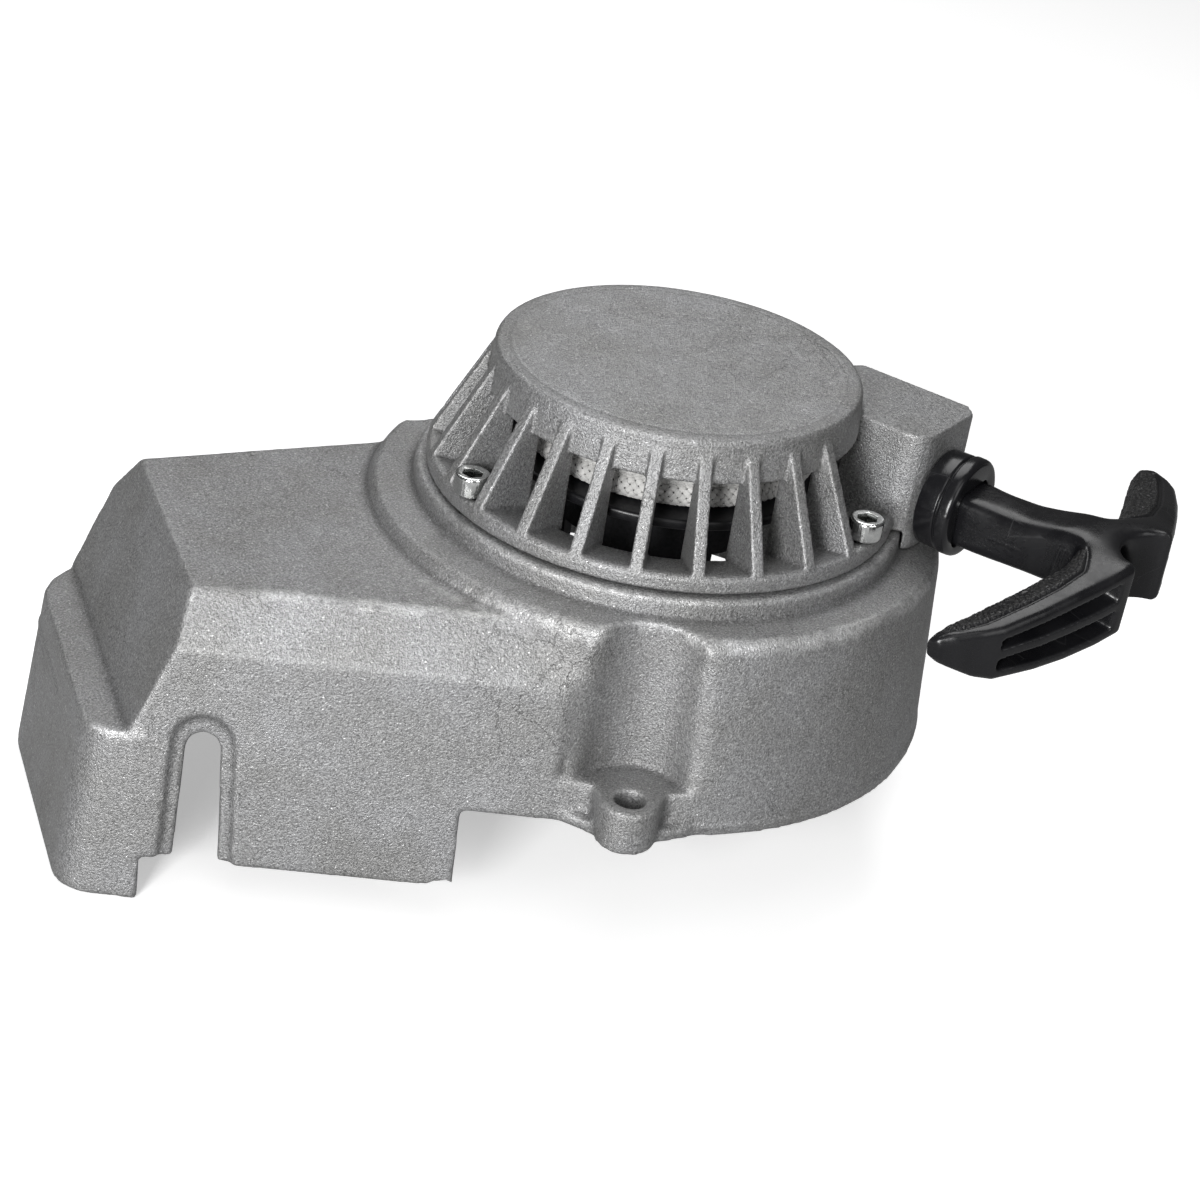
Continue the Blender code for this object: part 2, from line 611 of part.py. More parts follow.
# --- handle --------------------------------------------------------------------------
def build_handle(mat, parent):
    """The T-handle: a rounded stem along the pull, and two arms that sweep back."""

    def place(s, q, z):
        up = z - GUIDE_Z
        q, up = q * math.cos(HANDLE_ROLL) - up * math.sin(HANDLE_ROLL), q * math.sin(HANDLE_ROLL) + up * math.cos(HANDLE_ROLL)
        point = GUIDE_AXIS + PULL * s + ACROSS * q
        return Vector((point.x, point.y, GUIDE_Z + up))

    def section(s, half_q, low, high, round_by):
        """Rounded rectangle square to the pull."""
        points = []
        for cq, cz, start in ((1, -1, -90), (1, 1, 0), (-1, 1, 90), (-1, -1, 180)):
            for k in range(4):
                turn = math.radians(start + 30 * k)
                q = cq * (half_q - round_by) + round_by * math.cos(turn)
                z = (high - round_by if cz > 0 else low + round_by) + round_by * math.sin(turn)
                points.append(place(s, q, z))
        return points

    stem = loft(
        bmesh.new(),
        [
            section(52.4, 5.0, 45.0, 54.9, 2.2),
            section(53.4, 5.6, 44.3, 55.5, 2.2),
            section(60.0, 5.7, 44.4, 55.6, 2.2),
            section(68.0, 5.8, 44.9, 55.9, 2.2),
            section(73.0, 6.0, 45.2, 56.9, 2.2),
            section(78.0, 6.2, 45.4, 58.2, 2.2),
            section(85.0, 6.4, 45.2, 58.6, 2.2),
        ],
    )
    handle = finish("handle_grip", stem, mat, parent)

    # Each station: across, where the grip bulges inwards, the inner edge of the top face,
    # the outer face, lowest z, highest z.
    half = [
        (0.0, 80.4, 81.2, 94.6, 43.6, 58.3),
        (6.0, 80.8, 81.8, 94.1, 43.3, 58.2),
        (9.5, 81.0, 84.2, 93.4, 42.9, 57.9),
        (14.5, 80.2, 86.2, 91.9, 42.0, 56.9),
        (22.0, 77.9, 84.9, 89.3, 41.2, 55.7),
        (29.0, 75.6, 82.4, 86.6, 40.9, 54.2),
        (37.5, 72.8, 78.8, 82.6, 40.9, 52.4),
        (40.5, 71.9, 76.9, 80.2, 41.8, 51.8),
        (43.8, 71.2, 74.4, 76.7, 43.7, 50.8),
        (45.8, 71.2, 72.8, 73.8, 45.6, 49.5),
    ]
    stations = [(-q, *rest) for q, *rest in reversed(half[1:])] + half
    rings = []
    for q, bulge, inner, outer, low, high in stations:
        tall = high - low
        back = bulge + (outer - bulge) * 0.3
        ring = [
            (back, low),
            (outer - 0.9, low),
            (outer, low + 0.9),
            (outer, high - 1.2),
            (outer - 0.5, high - 0.4),
            (outer - 1.2, high),
            (inner, high),
            (inner - (inner - bulge) * 0.22, high - 0.4),
            (bulge + (inner - bulge) * 0.24, high - tall * 0.14),
            (bulge, high - tall * 0.36),
            (bulge + 0.2, low + tall * 0.3),
            (bulge + (back - bulge) * 0.4, low + tall * 0.08),
        ]
        rings.append([place(s, q, z) for s, z in ring])
    arms = finish("arms", loft(bmesh.new(), rings), parent=parent, helper=True)
    boolean(handle, arms, "UNION")

    # Two long channels in the outer face of each arm, with a rib between them.
    channels = bmesh.new()
    for side in (-1, 1):
        for upper in (False, True):
            rings = []
            for q, _bulge, _inner, outer, low, high in ((11.0, 0, 0, 93.0, 42.7, 57.6), *half[3:7]):
                middle = (low + high) / 2
                a, b = (middle + 0.8, high - 2.3) if upper else (low + 2.0, middle - 0.8)
                rings.append([place(outer - 4.4, side * q, a + 0.6), place(outer + 4.0, side * q, a), place(outer + 4.0, side * q, b), place(outer - 4.4, side * q, b - 0.6)])
            loft(channels, rings)
    channels = finish("arm_channels", channels, parent=parent, helper=True)
    boolean(handle, channels)

    # Notch between the arms, where the knot goes in.
    centre = GUIDE_AXIS + PULL * 96.1
    notch = finish("arm_notch", prism(circle((centre.x, centre.y), 8.6, 40), 30.0, 70.0), parent=parent, helper=True)
    boolean(handle, notch)

    # Knot pocket from the outer face, and the rope's bore down the stem.
    pocket = along_pull(prism(circle((0, 0), 4.6, 20), 78.0, 110.0))
    pocket = finish("handle_pocket", pocket, parent=parent, helper=True)
    boolean(handle, pocket)
    bore = along_pull(prism(circle((0, 0), 2.5, 16), 30.0, 90.0))
    bore = finish("handle_bore", bore, parent=parent, helper=True)
    boolean(handle, bore)
    return handle


def main():
    clear_scene()
    bpy.context.scene.unit_settings.scale_length = 1.0

    aluminium = material("cast_aluminium", (0.40, 0.40, 0.41), 0.55, 0.85)
    zinc = material("zinc_plate", (0.72, 0.73, 0.72), 0.25, 1.0)
    nylon = material("black_nylon", (0.015, 0.015, 0.017), 0.45, 0.0)
    grip = material("black_grip", (0.012, 0.012, 0.013), 0.35, 0.0)
    steel = material("blued_spring_steel", (0.12, 0.13, 0.16), 0.3, 1.0)
    pressed = material("pressed_steel", (0.05, 0.05, 0.055), 0.4, 0.6)
    rope = material("braided_rope", (0.72, 0.72, 0.70), 0.8, 0.0)
    bronze = material("sintered_bronze", (0.45, 0.33, 0.16), 0.45, 1.0)

    pulley_axis = bpy.data.objects.new("pulley_axis", None)
    pulley_axis.location = Vector((0.0, 0.0, GROOVE[0])) * MM
    pull_axis = bpy.data.objects.new("pull_axis", None)
    pull_axis.location = (GUIDE_AXIS + PULL * BLOCK_FACE) * MM
    for empty in (pulley_axis, pull_axis):
        bpy.context.scene.collection.objects.link(empty)
    bpy.context.view_layer.update()

    build_fan_cover(aluminium)
    build_housing(aluminium)
    for index, angle in enumerate(SCREW_ANGLES, 1):
        place = polar(SCREW_R, angle)
        socket_screw(f"housing_screw_{index}", (place.x, place.y), 3.5, 48.5, 52.6, 1.6, 38.5, 1.75, zinc, segments=20)

    build_spring(steel)
    spring_cover = turned([(9.0, 61.9), (28.8, 61.9), (28.8, 62.5), (9.0, 62.5)], 32)
    finish("spring_cover", spring_cover, zinc)

    build_pulley(nylon, pulley_axis)
    bush = turned([(6.25, 47.3), (6.95, 47.3), (6.95, 61.3), (6.25, 61.3)], 24)
    finish("pulley_bush", bush, bronze, pulley_axis)
    coil = turned([(PULLEY_FLOOR_R + 0.3, GROOVE[0] + 0.3), (28.2, GROOVE[0] + 0.3), (29.0, GROOVE[0] + 1.3), (29.2, 54.2), (28.4, 56.1), (29.2, 58.0), (29.0, 59.0), (28.2, GROOVE[1] - 0.3), (PULLEY_FLOOR_R + 0.3, GROOVE[1] - 0.3)], 32)
    finish("rope_coil", coil, rope, pulley_axis)
    knot_at = polar(11.9, 20.0)
    knot = turned([(0.0, 48.4), (2.2, 49.0), (3.0, 50.8), (3.0, 52.2), (2.2, 54.0), (0.0, 54.6)], 14, (knot_at.x, knot_at.y))
    finish("pulley_knot", knot, rope, pulley_axis)

    build_cup(pressed, pulley_axis)
    for index in range(3):
        place = polar(13.6, 80.0 + 120.0 * index)
        socket_screw(f"cup_screw_{index + 1}", (place.x, place.y), 2.7, CUP_TOP - 2.3, CUP_TOP - 4.3, 1.45, 50.2, 1.3, zinc, pulley_axis)
    washer = turned([(3.0, 43.0), (10.6, 43.0), (10.6, 44.4), (3.0, 44.4)], 24)
    finish("retaining_washer", washer, zinc)
    socket_screw("centre_screw", (0.0, 0.0), 4.6, 42.7, 38.6, 2.4, 57.0, 2.3, zinc)

    guide = turned(
        [
            (2.7, 37.0),
            (4.6, 37.0),
            (4.6, BLOCK_FACE + 0.3),
            (9.6, BLOCK_FACE + 0.3),
            (9.9, BLOCK_FACE + 1.0),
            (10.0, BLOCK_FACE + 4.0),
            (10.2, BLOCK_FACE + 5.2),
            (10.2, BLOCK_FACE + 6.6),
            (9.9, BLOCK_FACE + 7.7),
            (9.3, BLOCK_FACE + 8.0),
            (8.9, BLOCK_FACE + 7.4),
            (8.8, BLOCK_FACE + 4.8),
            (2.7, BLOCK_FACE + 4.8),
        ],
        32,
    )
    finish("rope_guide", along_pull(guide), grip)
    finish("rope_run", swept_tube(bmesh.new(), rope_run_path(), ROPE_D / 2, 10), rope)
    lead = [GUIDE_AXIS + PULL * (36.3 + 3.2 * k) for k in range(14)]
    finish("rope_lead", swept_tube(bmesh.new(), lead, ROPE_D / 2, 10), rope)
    build_handle(grip, pull_axis)
    stop = along_pull(turned([(2.5, 78.3), (4.2, 78.3), (4.2, 79.1), (2.5, 79.1)], 20))
    finish("rope_stop_washer", stop, zinc, pull_axis)
    knot = along_pull(turned([(0.0, 79.4), (2.4, 79.6), (3.6, 81.4), (3.6, 83.2), (2.4, 85.2), (0.0, 85.8)], 14))
    finish("handle_knot", knot, rope, pull_axis)


main()
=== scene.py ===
"""Looks of the recoil starter: castings, screws, rope, pulley and handle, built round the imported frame.

Everything is in metres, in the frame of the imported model. Lengths below are in millimetres until they reach a mesh.
"""

import math

import bmesh
import bpy
import numpy as np
from mathutils import Matrix, Vector, noise


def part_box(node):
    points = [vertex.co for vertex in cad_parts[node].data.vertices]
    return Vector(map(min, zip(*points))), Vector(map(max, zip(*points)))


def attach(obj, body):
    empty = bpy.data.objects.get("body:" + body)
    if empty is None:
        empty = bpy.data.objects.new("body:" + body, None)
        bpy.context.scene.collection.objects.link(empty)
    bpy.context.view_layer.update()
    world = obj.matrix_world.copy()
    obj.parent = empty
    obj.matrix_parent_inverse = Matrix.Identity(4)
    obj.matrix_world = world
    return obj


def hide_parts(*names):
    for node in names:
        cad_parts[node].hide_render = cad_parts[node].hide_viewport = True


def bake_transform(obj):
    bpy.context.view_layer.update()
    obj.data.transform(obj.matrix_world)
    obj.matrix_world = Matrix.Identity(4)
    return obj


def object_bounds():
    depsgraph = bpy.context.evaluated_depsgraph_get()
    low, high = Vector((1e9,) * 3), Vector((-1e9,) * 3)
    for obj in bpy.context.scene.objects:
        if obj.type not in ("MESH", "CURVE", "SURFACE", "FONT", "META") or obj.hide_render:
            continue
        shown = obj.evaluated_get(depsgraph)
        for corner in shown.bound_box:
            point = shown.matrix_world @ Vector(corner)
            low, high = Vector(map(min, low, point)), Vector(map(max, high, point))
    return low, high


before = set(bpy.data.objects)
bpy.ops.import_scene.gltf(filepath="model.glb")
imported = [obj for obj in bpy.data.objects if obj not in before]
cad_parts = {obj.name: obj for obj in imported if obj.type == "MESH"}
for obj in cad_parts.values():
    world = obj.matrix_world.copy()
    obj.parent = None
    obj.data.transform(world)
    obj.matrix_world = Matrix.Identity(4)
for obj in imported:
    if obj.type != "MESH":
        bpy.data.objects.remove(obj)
cad_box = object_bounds()
scene = bpy.context.scene
MM = 0.001


# --- camera and stage ---------------------------------------------------------------
def add_camera():
    data = bpy.data.cameras.new("camera")
    data.lens, data.sensor_width, data.clip_start = 76.5, 36.0, 0.01
    camera = bpy.data.objects.new("camera", data)
    right = Vector((0.93436, -0.32809, 0.13901))
    down = Vector((-0.04745, -0.50122, -0.86402))
    ahead = Vector((0.35315, 0.80071, -0.48389))
    turn = Matrix((right, -down, -ahead)).transposed().to_4x4()
    turn.translation = Vector((-0.1929, -0.4175, 0.2692))
    camera.matrix_world = turn
    scene.collection.objects.link(camera)
    scene.camera = camera


def area_light(name, azimuth, elevation, distance, size, watts, colour=(1.0, 1.0, 1.0), aim=(-0.01, -0.01, 0.02), size_y=None):
    data = bpy.data.lights.new(name, "AREA")
    data.energy, data.color, data.size = watts, colour, size
    if size_y:
        data.shape, data.size_y = "RECTANGLE", size_y
    light = bpy.data.objects.new(name, data)
    a, e = math.radians(azimuth), math.radians(elevation)
    way = Vector((math.cos(e) * math.cos(a), math.cos(e) * math.sin(a), math.sin(e)))
    light.location = Vector(aim) + way * distance
    light.rotation_euler = way.to_track_quat("Z", "Y").to_euler()
    scene.collection.objects.link(light)
    return light


add_camera()
scene.view_settings.view_transform = "Standard"
scene.view_settings.look = "None"
scene.view_settings.exposure = 0.0

world = bpy.data.worlds.new("studio")
world.use_nodes = True
world.node_tree.nodes["Background"].inputs["Color"].default_value = (1.0, 1.0, 1.0, 1.0)
world.node_tree.nodes["Background"].inputs["Strength"].default_value = 0.09
scene.world = world

area_light("key", 229.0, 16.0, 0.95, 0.26, 10.6, size_y=0.42)
area_light("front", 290.0, 30.0, 0.95, 0.5, 1.7)
area_light("front_top", 246.0, 62.0, 1.0, 0.5, 0.9)
area_light("back", 75.0, 64.0, 1.0, 0.7, 5.3)


# --- node helpers ---------------------------------------------------------------------
class Nodes:
    """A short way to write a material's node tree; every length in it is in millimetres."""

    def __init__(self, name, colour, roughness, metallic, preview=None):
        self.material = bpy.data.materials.new(name)
        self.material.use_nodes = True
        self.tree = self.material.node_tree
        self.shader = self.tree.nodes["Principled BSDF"]
        self.shader.inputs["Base Color"].default_value = (*colour, 1.0)
        self.shader.inputs["Roughness"].default_value = roughness
        self.shader.inputs["Metallic"].default_value = metallic
        self.material.diffuse_color = (*(preview or colour), 1.0)
        place = self.tree.nodes.new("ShaderNodeTexCoord")
        grow = self.tree.nodes.new("ShaderNodeVectorMath")
        grow.operation = "SCALE"
        grow.inputs["Scale"].default_value = 1000.0
        self.tree.links.new(place.outputs["Object"], grow.inputs[0])
        self.mm = grow.outputs[0]

    def add(self, kind, **settings):
        node = self.tree.nodes.new(kind)
        for key, value in settings.items():
            if key in node.inputs.keys():
                self.put(node.inputs[key], value)
            else:
                setattr(node, key, value)
        return node

    def put(self, socket, value):
        if isinstance(value, bpy.types.NodeSocket):
            self.tree.links.new(value, socket)
        else:
            socket.default_value = value

    def noise(self, scale, detail=2.0, roughness=0.5, vector=None, distortion=0.0):
        node = self.add("ShaderNodeTexNoise", Scale=scale, Detail=detail, Roughness=roughness, Distortion=distortion)
        self.tree.links.new(vector or self.mm, node.inputs["Vector"])
        return node.outputs[0]

    def voronoi(self, scale, feature="F1", vector=None, output="Distance", randomness=1.0):
        node = self.tree.nodes.new("ShaderNodeTexVoronoi")
        node.feature = feature
        node.inputs["Scale"].default_value = scale
        node.inputs["Randomness"].default_value = randomness
        self.tree.links.new(vector or self.mm, node.inputs["Vector"])
        return node.outputs[output]

    def math(self, operation, a, b=0.0, c=None, clamp=False):
        node = self.tree.nodes.new("ShaderNodeMath")
        node.operation, node.use_clamp = operation, clamp
        self.put(node.inputs[0], a)
        self.put(node.inputs[1], b)
        if c is not None:
            self.put(node.inputs[2], c)
        return node.outputs[0]

    def spread(self, value, low, high, out_low=0.0, out_high=1.0, smooth=False):
        node = self.tree.nodes.new("ShaderNodeMapRange")
        if smooth:
            node.interpolation_type = "SMOOTHSTEP"
        self.put(node.inputs["Value"], value)
        for key, number in (("From Min", low), ("From Max", high), ("To Min", out_low), ("To Max", out_high)):
            node.inputs[key].default_value = number
        return node.outputs[0]

    def mix(self, share, a, b, blend="MIX"):
        node = self.tree.nodes.new("ShaderNodeMix")
        node.data_type, node.blend_type = "RGBA", blend
        self.put(node.inputs[0], share)
        for socket, value in ((node.inputs[6], a), (node.inputs[7], b)):
            if isinstance(value, bpy.types.NodeSocket):
                self.tree.links.new(value, socket)
            else:
                socket.default_value = (*value, 1.0)
        return node.outputs[2]

    def attribute(self, name):
        node = self.tree.nodes.new("ShaderNodeAttribute")
        node.attribute_name = name
        return node.outputs["Fac"]

    def stretch(self, x, y, z, vector=None):
        node = self.tree.nodes.new("ShaderNodeVectorMath")
        node.operation = "MULTIPLY"
        self.tree.links.new(vector or self.mm, node.inputs[0])
        node.inputs[1].default_value = (x, y, z)
        return node.outputs[0]

    def parts(self, vector=None):
        node = self.tree.nodes.new("ShaderNodeSeparateXYZ")
        self.tree.links.new(vector or self.mm, node.inputs[0])
        return node.outputs

    def grey(self, value):
        node = self.tree.nodes.new("ShaderNodeCombineColor")
        for socket in node.inputs:
            self.put(socket, value)
        return node.outputs[0]

    def bump(self, height, strength, distance_mm, normal=None):
        node = self.tree.nodes.new("ShaderNodeBump")
        node.inputs["Strength"].default_value = strength
        node.inputs["Distance"].default_value = distance_mm * MM
        self.put(node.inputs["Height"], height)
        if normal is not None:
            self.tree.links.new(normal, node.inputs["Normal"])
        return node.outputs[0]

    def colour(self, value):
        self.tree.links.new(value, self.shader.inputs["Base Color"])

    def rough(self, value):
        self.tree.links.new(value, self.shader.inputs["Roughness"])

    def normal(self, value):
        self.tree.links.new(value, self.shader.inputs["Normal"])


def cast_aluminium(name, top_radius=None, rub=0.6):
    """Blasted die casting: fine grain, painted glints, stains, hair cracks and rubbed edges."""
    n = Nodes(name, (0.33, 0.33, 0.335), 0.47, 0.72)
    grain = n.noise(2.1, 3.0, 0.7)
    fine = n.noise(3.4, 1.0, 0.5)
    blotch = n.noise(0.055, 4.0, 0.62)
    cloud = n.noise(0.4, 3.0, 0.6)
    edge = n.attribute("edge")
    hollow = n.attribute("hollow")

    value = n.spread(grain, 0.32, 0.68, 0.64, 1.36)
    value = n.math("MULTIPLY", value, n.spread(fine, 0.3, 0.7, 0.74, 1.26))
    value = n.math("MULTIPLY", value, n.spread(blotch, 0.3, 0.7, 0.93, 1.06))
    value = n.math("MULTIPLY", value, n.spread(cloud, 0.25, 0.75, 0.965, 1.035))
    # Painted glints: a few specks are made much lighter in the colour, standing in for sparkles of light, and
    # smoother.
    painted_glint = n.math("GREATER_THAN", n.parts(n.voronoi(1.9, output="Color"))[0], 0.90)
    painted_glint = n.math("MULTIPLY", painted_glint, n.math("LESS_THAN", n.voronoi(1.9), 0.36))
    value = n.math("ADD", value, n.math("MULTIPLY", painted_glint, 0.55))
    pit = n.math("GREATER_THAN", n.parts(n.voronoi(1.5, output="Color"))[1], 0.972)
    pit = n.math("MULTIPLY", pit, n.math("LESS_THAN", n.voronoi(1.5), 0.24))
    value = n.math("MULTIPLY", value, n.math("SUBTRACT", 1.0, n.math("MULTIPLY", pit, 0.45)))

    # Hair cracks and dark rubs, only in patches.
    bend = n.tree.nodes.new("ShaderNodeVectorMath")
    bend.operation = "ADD"
    n.tree.links.new(n.mm, bend.inputs[0])
    wander = n.add("ShaderNodeTexNoise", Scale=0.35, Detail=3.0, Roughness=0.6)
    n.tree.links.new(n.mm, wander.inputs["Vector"])
    push = n.tree.nodes.new("ShaderNodeVectorMath")
    push.operation = "SCALE"
    push.inputs["Scale"].default_value = 5.0
    n.tree.links.new(wander.outputs["Color"], push.inputs[0])
    n.tree.links.new(push.outputs[0], bend.inputs[1])
    veins = n.voronoi(0.085, "DISTANCE_TO_EDGE", vector=bend.outputs[0])
    patch = n.spread(n.noise(0.035, 2.0, 0.5), 0.53, 0.6)
    veins = n.math("MULTIPLY", n.spread(veins, 0.004, 0.012, 1.0, 0.0), patch)
    value = n.math("MULTIPLY", value, n.math("SUBTRACT", 1.0, n.math("MULTIPLY", veins, 0.3)))
    scratch = n.voronoi(0.11, "DISTANCE_TO_EDGE", vector=n.stretch(0.5, 0.7, 3.0, bend.outputs[0]))
    there = n.spread(n.noise(0.045, 2.0, 0.5, vector=n.stretch(1.0, 1.0, 0.6)), 0.57, 0.63)
    scratch = n.math("MULTIPLY", n.spread(scratch, 0.003, 0.009, 1.0, 0.0), there)
    value = n.math("ADD", value, n.math("MULTIPLY", scratch, 0.22))

    rubbed = n.math("MULTIPLY", n.spread(edge, 0.35, 1.0), n.spread(n.noise(0.45, 4.0, 0.65), 0.42, 0.62, 0.12, 1.0), clamp=True)
    rubbed = n.math("MULTIPLY", rubbed, n.spread(n.parts()[2], 30.0, 37.0, 0.3, 1.0))
    worn = n.math("MULTIPLY", n.attribute("worn"), n.spread(n.noise(1.3, 3.0, 0.6), 0.35, 0.6, 0.35, 1.0))
    rubbed = n.math("MAXIMUM", rubbed, worn)
    value = n.math("ADD", value, n.math("MULTIPLY", rubbed, rub))
    value = n.math("ADD", value, n.math("MULTIPLY", worn, 0.55))
    # Concave creases are made darker, by up to three tenths.
    value = n.math("MULTIPLY", value, n.spread(hollow, 0.1, 1.0, 1.0, 0.7))
    if top_radius:
        # The cap's top face is rubbed smoother, with faint swirls.
        x, y, z = n.parts()
        radius = n.math("SQRT", n.math("ADD", n.math("MULTIPLY", x, x), n.math("MULTIPLY", y, y)))
        top = n.math("MULTIPLY", n.spread(z, 70.6, 71.0), n.spread(radius, top_radius + 0.4, top_radius - 0.4))
        smear = n.noise(0.16, 4.0, 0.65, distortion=1.6)
        value = n.math("MULTIPLY", value, n.math("ADD", 1.0, n.math("MULTIPLY", top, n.spread(smear, 0.3, 0.7, 0.04, 0.24))))
        rough = n.math("SUBTRACT", n.spread(grain, 0.3, 0.7, 0.44, 0.56), n.math("MULTIPLY", top, 0.05))
    else:
        rough = n.spread(grain, 0.3, 0.7, 0.44, 0.56)
    rough = n.math("SUBTRACT", rough, n.math("MULTIPLY", painted_glint, 0.16))
    rough = n.math("SUBTRACT", rough, n.math("MULTIPLY", rubbed, 0.13))
    n.rough(rough)
    colour = n.mix(n.spread(blotch, 0.35, 0.65), (0.300, 0.299, 0.296), (0.318, 0.319, 0.324))
    n.colour(n.mix(1.0, colour, n.grey(value), "MULTIPLY"))
    height = n.math("ADD", grain, n.math("MULTIPLY", fine, 0.6))
    height = n.math("ADD", height, n.math("MULTIPLY", cloud, 0.25))
    height = n.math("SUBTRACT", height, n.math("MULTIPLY", veins, 0.3))
    n.normal(n.bump(height, 0.85, 0.24))
    return n.material


def zinc_plate(name):
    n = Nodes(name, (0.78, 0.79, 0.78), 0.16, 1.0)
    smear = n.noise(0.9, 3.0, 0.6)
    plate = n.mix(n.spread(smear, 0.3, 0.7), (0.66, 0.67, 0.67), (0.84, 0.85, 0.83))
    # Painted shade: the inside of a screw's socket is painted nearly black.
    n.colour(n.mix(n.attribute("socket_shade"), plate, (0.05, 0.05, 0.045)))
    n.rough(n.spread(n.noise(2.2, 3.0, 0.6), 0.3, 0.7, 0.10, 0.27))
    n.normal(n.bump(n.noise(3.0, 2.0, 0.5), 0.12, 0.05))
    return n.material


def black_plastic(name, pad=False, roughness=0.3):
    """Moulded black plastic: satin skin, flow marks and light scuffs; pads carry a grain with a painted sheen."""
    n = Nodes(name, (0.012, 0.012, 0.013), roughness, 0.0)
    skin = n.noise(1.1, 4.0, 0.6)
    flow = n.noise(0.10, 3.0, 0.55, vector=n.stretch(1.0, 1.0, 0.4))
    fine = n.noise(9.0, 2.0, 0.5)
    scuff = n.voronoi(0.16, "DISTANCE_TO_EDGE", vector=n.stretch(1.0, 0.45, 1.6))
    scuff = n.math("MULTIPLY", n.spread(scuff, 0.003, 0.008, 1.0, 0.0), n.spread(n.noise(0.11, 2.0, 0.5), 0.56, 0.64))
    rough = n.spread(flow, 0.3, 0.7, roughness - 0.07, roughness + 0.08)
    rough = n.math("ADD", rough, n.spread(skin, 0.3, 0.7, -0.04, 0.05))
    rough = n.math("ADD", rough, n.math("MULTIPLY", scuff, 0.18))
    edge = n.attribute("edge")
    colour = n.mix(n.spread(flow, 0.35, 0.65), (0.0052, 0.0052, 0.0062), (0.0088, 0.0088, 0.0100))
    colour = n.mix(n.math("MULTIPLY", scuff, 0.4), colour, (0.04, 0.04, 0.042))
    colour = n.mix(n.spread(edge, 0.35, 1.0, 0.0, 0.2), colour, (0.04, 0.04, 0.042))
    height = n.math("ADD", n.math("MULTIPLY", skin, 0.6), n.math("MULTIPLY", fine, 0.1))
    normal = n.bump(height, 0.22, 0.06)
    if pad:
        grained = n.attribute("pad")
        cells = n.voronoi(0.95, "DISTANCE_TO_EDGE", vector=n.stretch(1.0, 1.0, 0.7))
        wrinkle = n.spread(cells, 0.0, 0.22, 0.0, 1.0, smooth=True)
        height = n.math("MULTIPLY", wrinkle, grained)
        normal = n.bump(height, 0.8, 0.22, normal)
        rough = n.math("ADD", rough, n.math("MULTIPLY", grained, 0.10))
        # Painted sheen: the raised cells of the pads' grain are painted lighter.
        colour = n.mix(n.math("MULTIPLY", grained, n.math("MULTIPLY", wrinkle, 0.55)), colour, (0.034, 0.033, 0.032))
    n.colour(colour)
    n.rough(rough)
    n.normal(normal)
    n.shader.inputs["Specular IOR Level"].default_value = 0.42
    return n.material


def rope_fibre(name, along=None):
    """White polyester yarn with painted shade between its yarns; where along is given, the braid itself is drawn
    round that straight line.
    """
    n = Nodes(name, (0.74, 0.73, 0.70), 0.6, 0.0)
    strand = n.noise(7.0, 2.0, 0.6)
    dirt = n.noise(0.25, 3.0, 0.6)
    colour = n.mix(n.spread(dirt, 0.35, 0.7), (0.62, 0.615, 0.60), (0.44, 0.437, 0.425))
    colour = n.mix(n.spread(strand, 0.3, 0.6, 0.35, 0.0), colour, (0.36, 0.355, 0.34))
    height = strand
    if along is None:
        # Painted shade: points lying under the outer yarns, and the cores, are painted nearly black.
        depth = n.attribute("depth")
        colour = n.mix(n.spread(depth, 0.16, 0.7, 0.0, 0.95), colour, (0.035, 0.035, 0.034))
    if along is not None:
        origin, way, side, up, radius = along
        move = n.tree.nodes.new("ShaderNodeVectorMath")
        move.operation = "SUBTRACT"
        n.tree.links.new(n.mm, move.inputs[0])
        move.inputs[1].default_value = tuple(origin)

        def dot(axis):
            node = n.tree.nodes.new("ShaderNodeVectorMath")
            node.operation = "DOT_PRODUCT"
            n.tree.links.new(move.outputs[0], node.inputs[0])
            node.inputs[1].default_value = tuple(axis)
            return node.outputs["Value"]

        angle = n.math("ARCTAN2", dot(side), dot(up))
        turn = n.math("MULTIPLY", dot(way), 1.0 / radius)
        left = n.math("SINE", n.math("MULTIPLY", n.math("ADD", angle, turn), 8.0))
        right = n.math("SINE", n.math("MULTIPLY", n.math("SUBTRACT", angle, turn), 8.0))
        weave = n.math("MULTIPLY", left, right)
        height = n.math("ADD", n.math("MULTIPLY", strand, 0.4), n.math("MULTIPLY", weave, 0.9))
        # Painted shade: where the drawn yarns pass under each other, the colour is painted darker.
        colour = n.mix(n.spread(weave, -0.5, -0.05, 0.6, 0.0), colour, (0.16, 0.16, 0.155))
    n.colour(colour)
    n.shader.inputs["Sheen Weight"].default_value = 0.25
    n.normal(n.bump(height, 0.7, 0.14))
    return n.material


def plain_metal(name, dark, light, rough_low, rough_high, metallic=1.0, scale=1.4):
    n = Nodes(name, light, (rough_low + rough_high) / 2, metallic)
    mark = n.noise(scale, 4.0, 0.6)
    n.colour(n.mix(n.spread(mark, 0.3, 0.7), dark, light))
    n.rough(n.spread(n.noise(scale * 2.3, 3.0, 0.6), 0.3, 0.7, rough_low, rough_high))
    n.normal(n.bump(mark, 0.2, 0.06))
    return n.material


# --- mesh helpers -----------------------------------------------------------------------
def new_piece(name, mesh, material, body, replaced=()):
    for polygon_material in list(mesh.materials):
        del polygon_material
    mesh.materials.clear()
    mesh.materials.append(material)
    piece = bpy.data.objects.new(name, mesh)
    scene.collection.objects.link(piece)
    if body:
        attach(piece, body)
    if replaced:
        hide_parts(*replaced)
    return piece


def mesh_from(name, points, faces, smooth=True):
    """A mesh from points in millimetres."""
    mesh = bpy.data.meshes.new(name)
    points = np.asarray(points, float) * MM
    mesh.from_pydata(points.tolist() if len(points) < 4000 else [tuple(p) for p in points], [], faces)
    mesh.update()
    if smooth:
        mesh.shade_smooth()
    return mesh


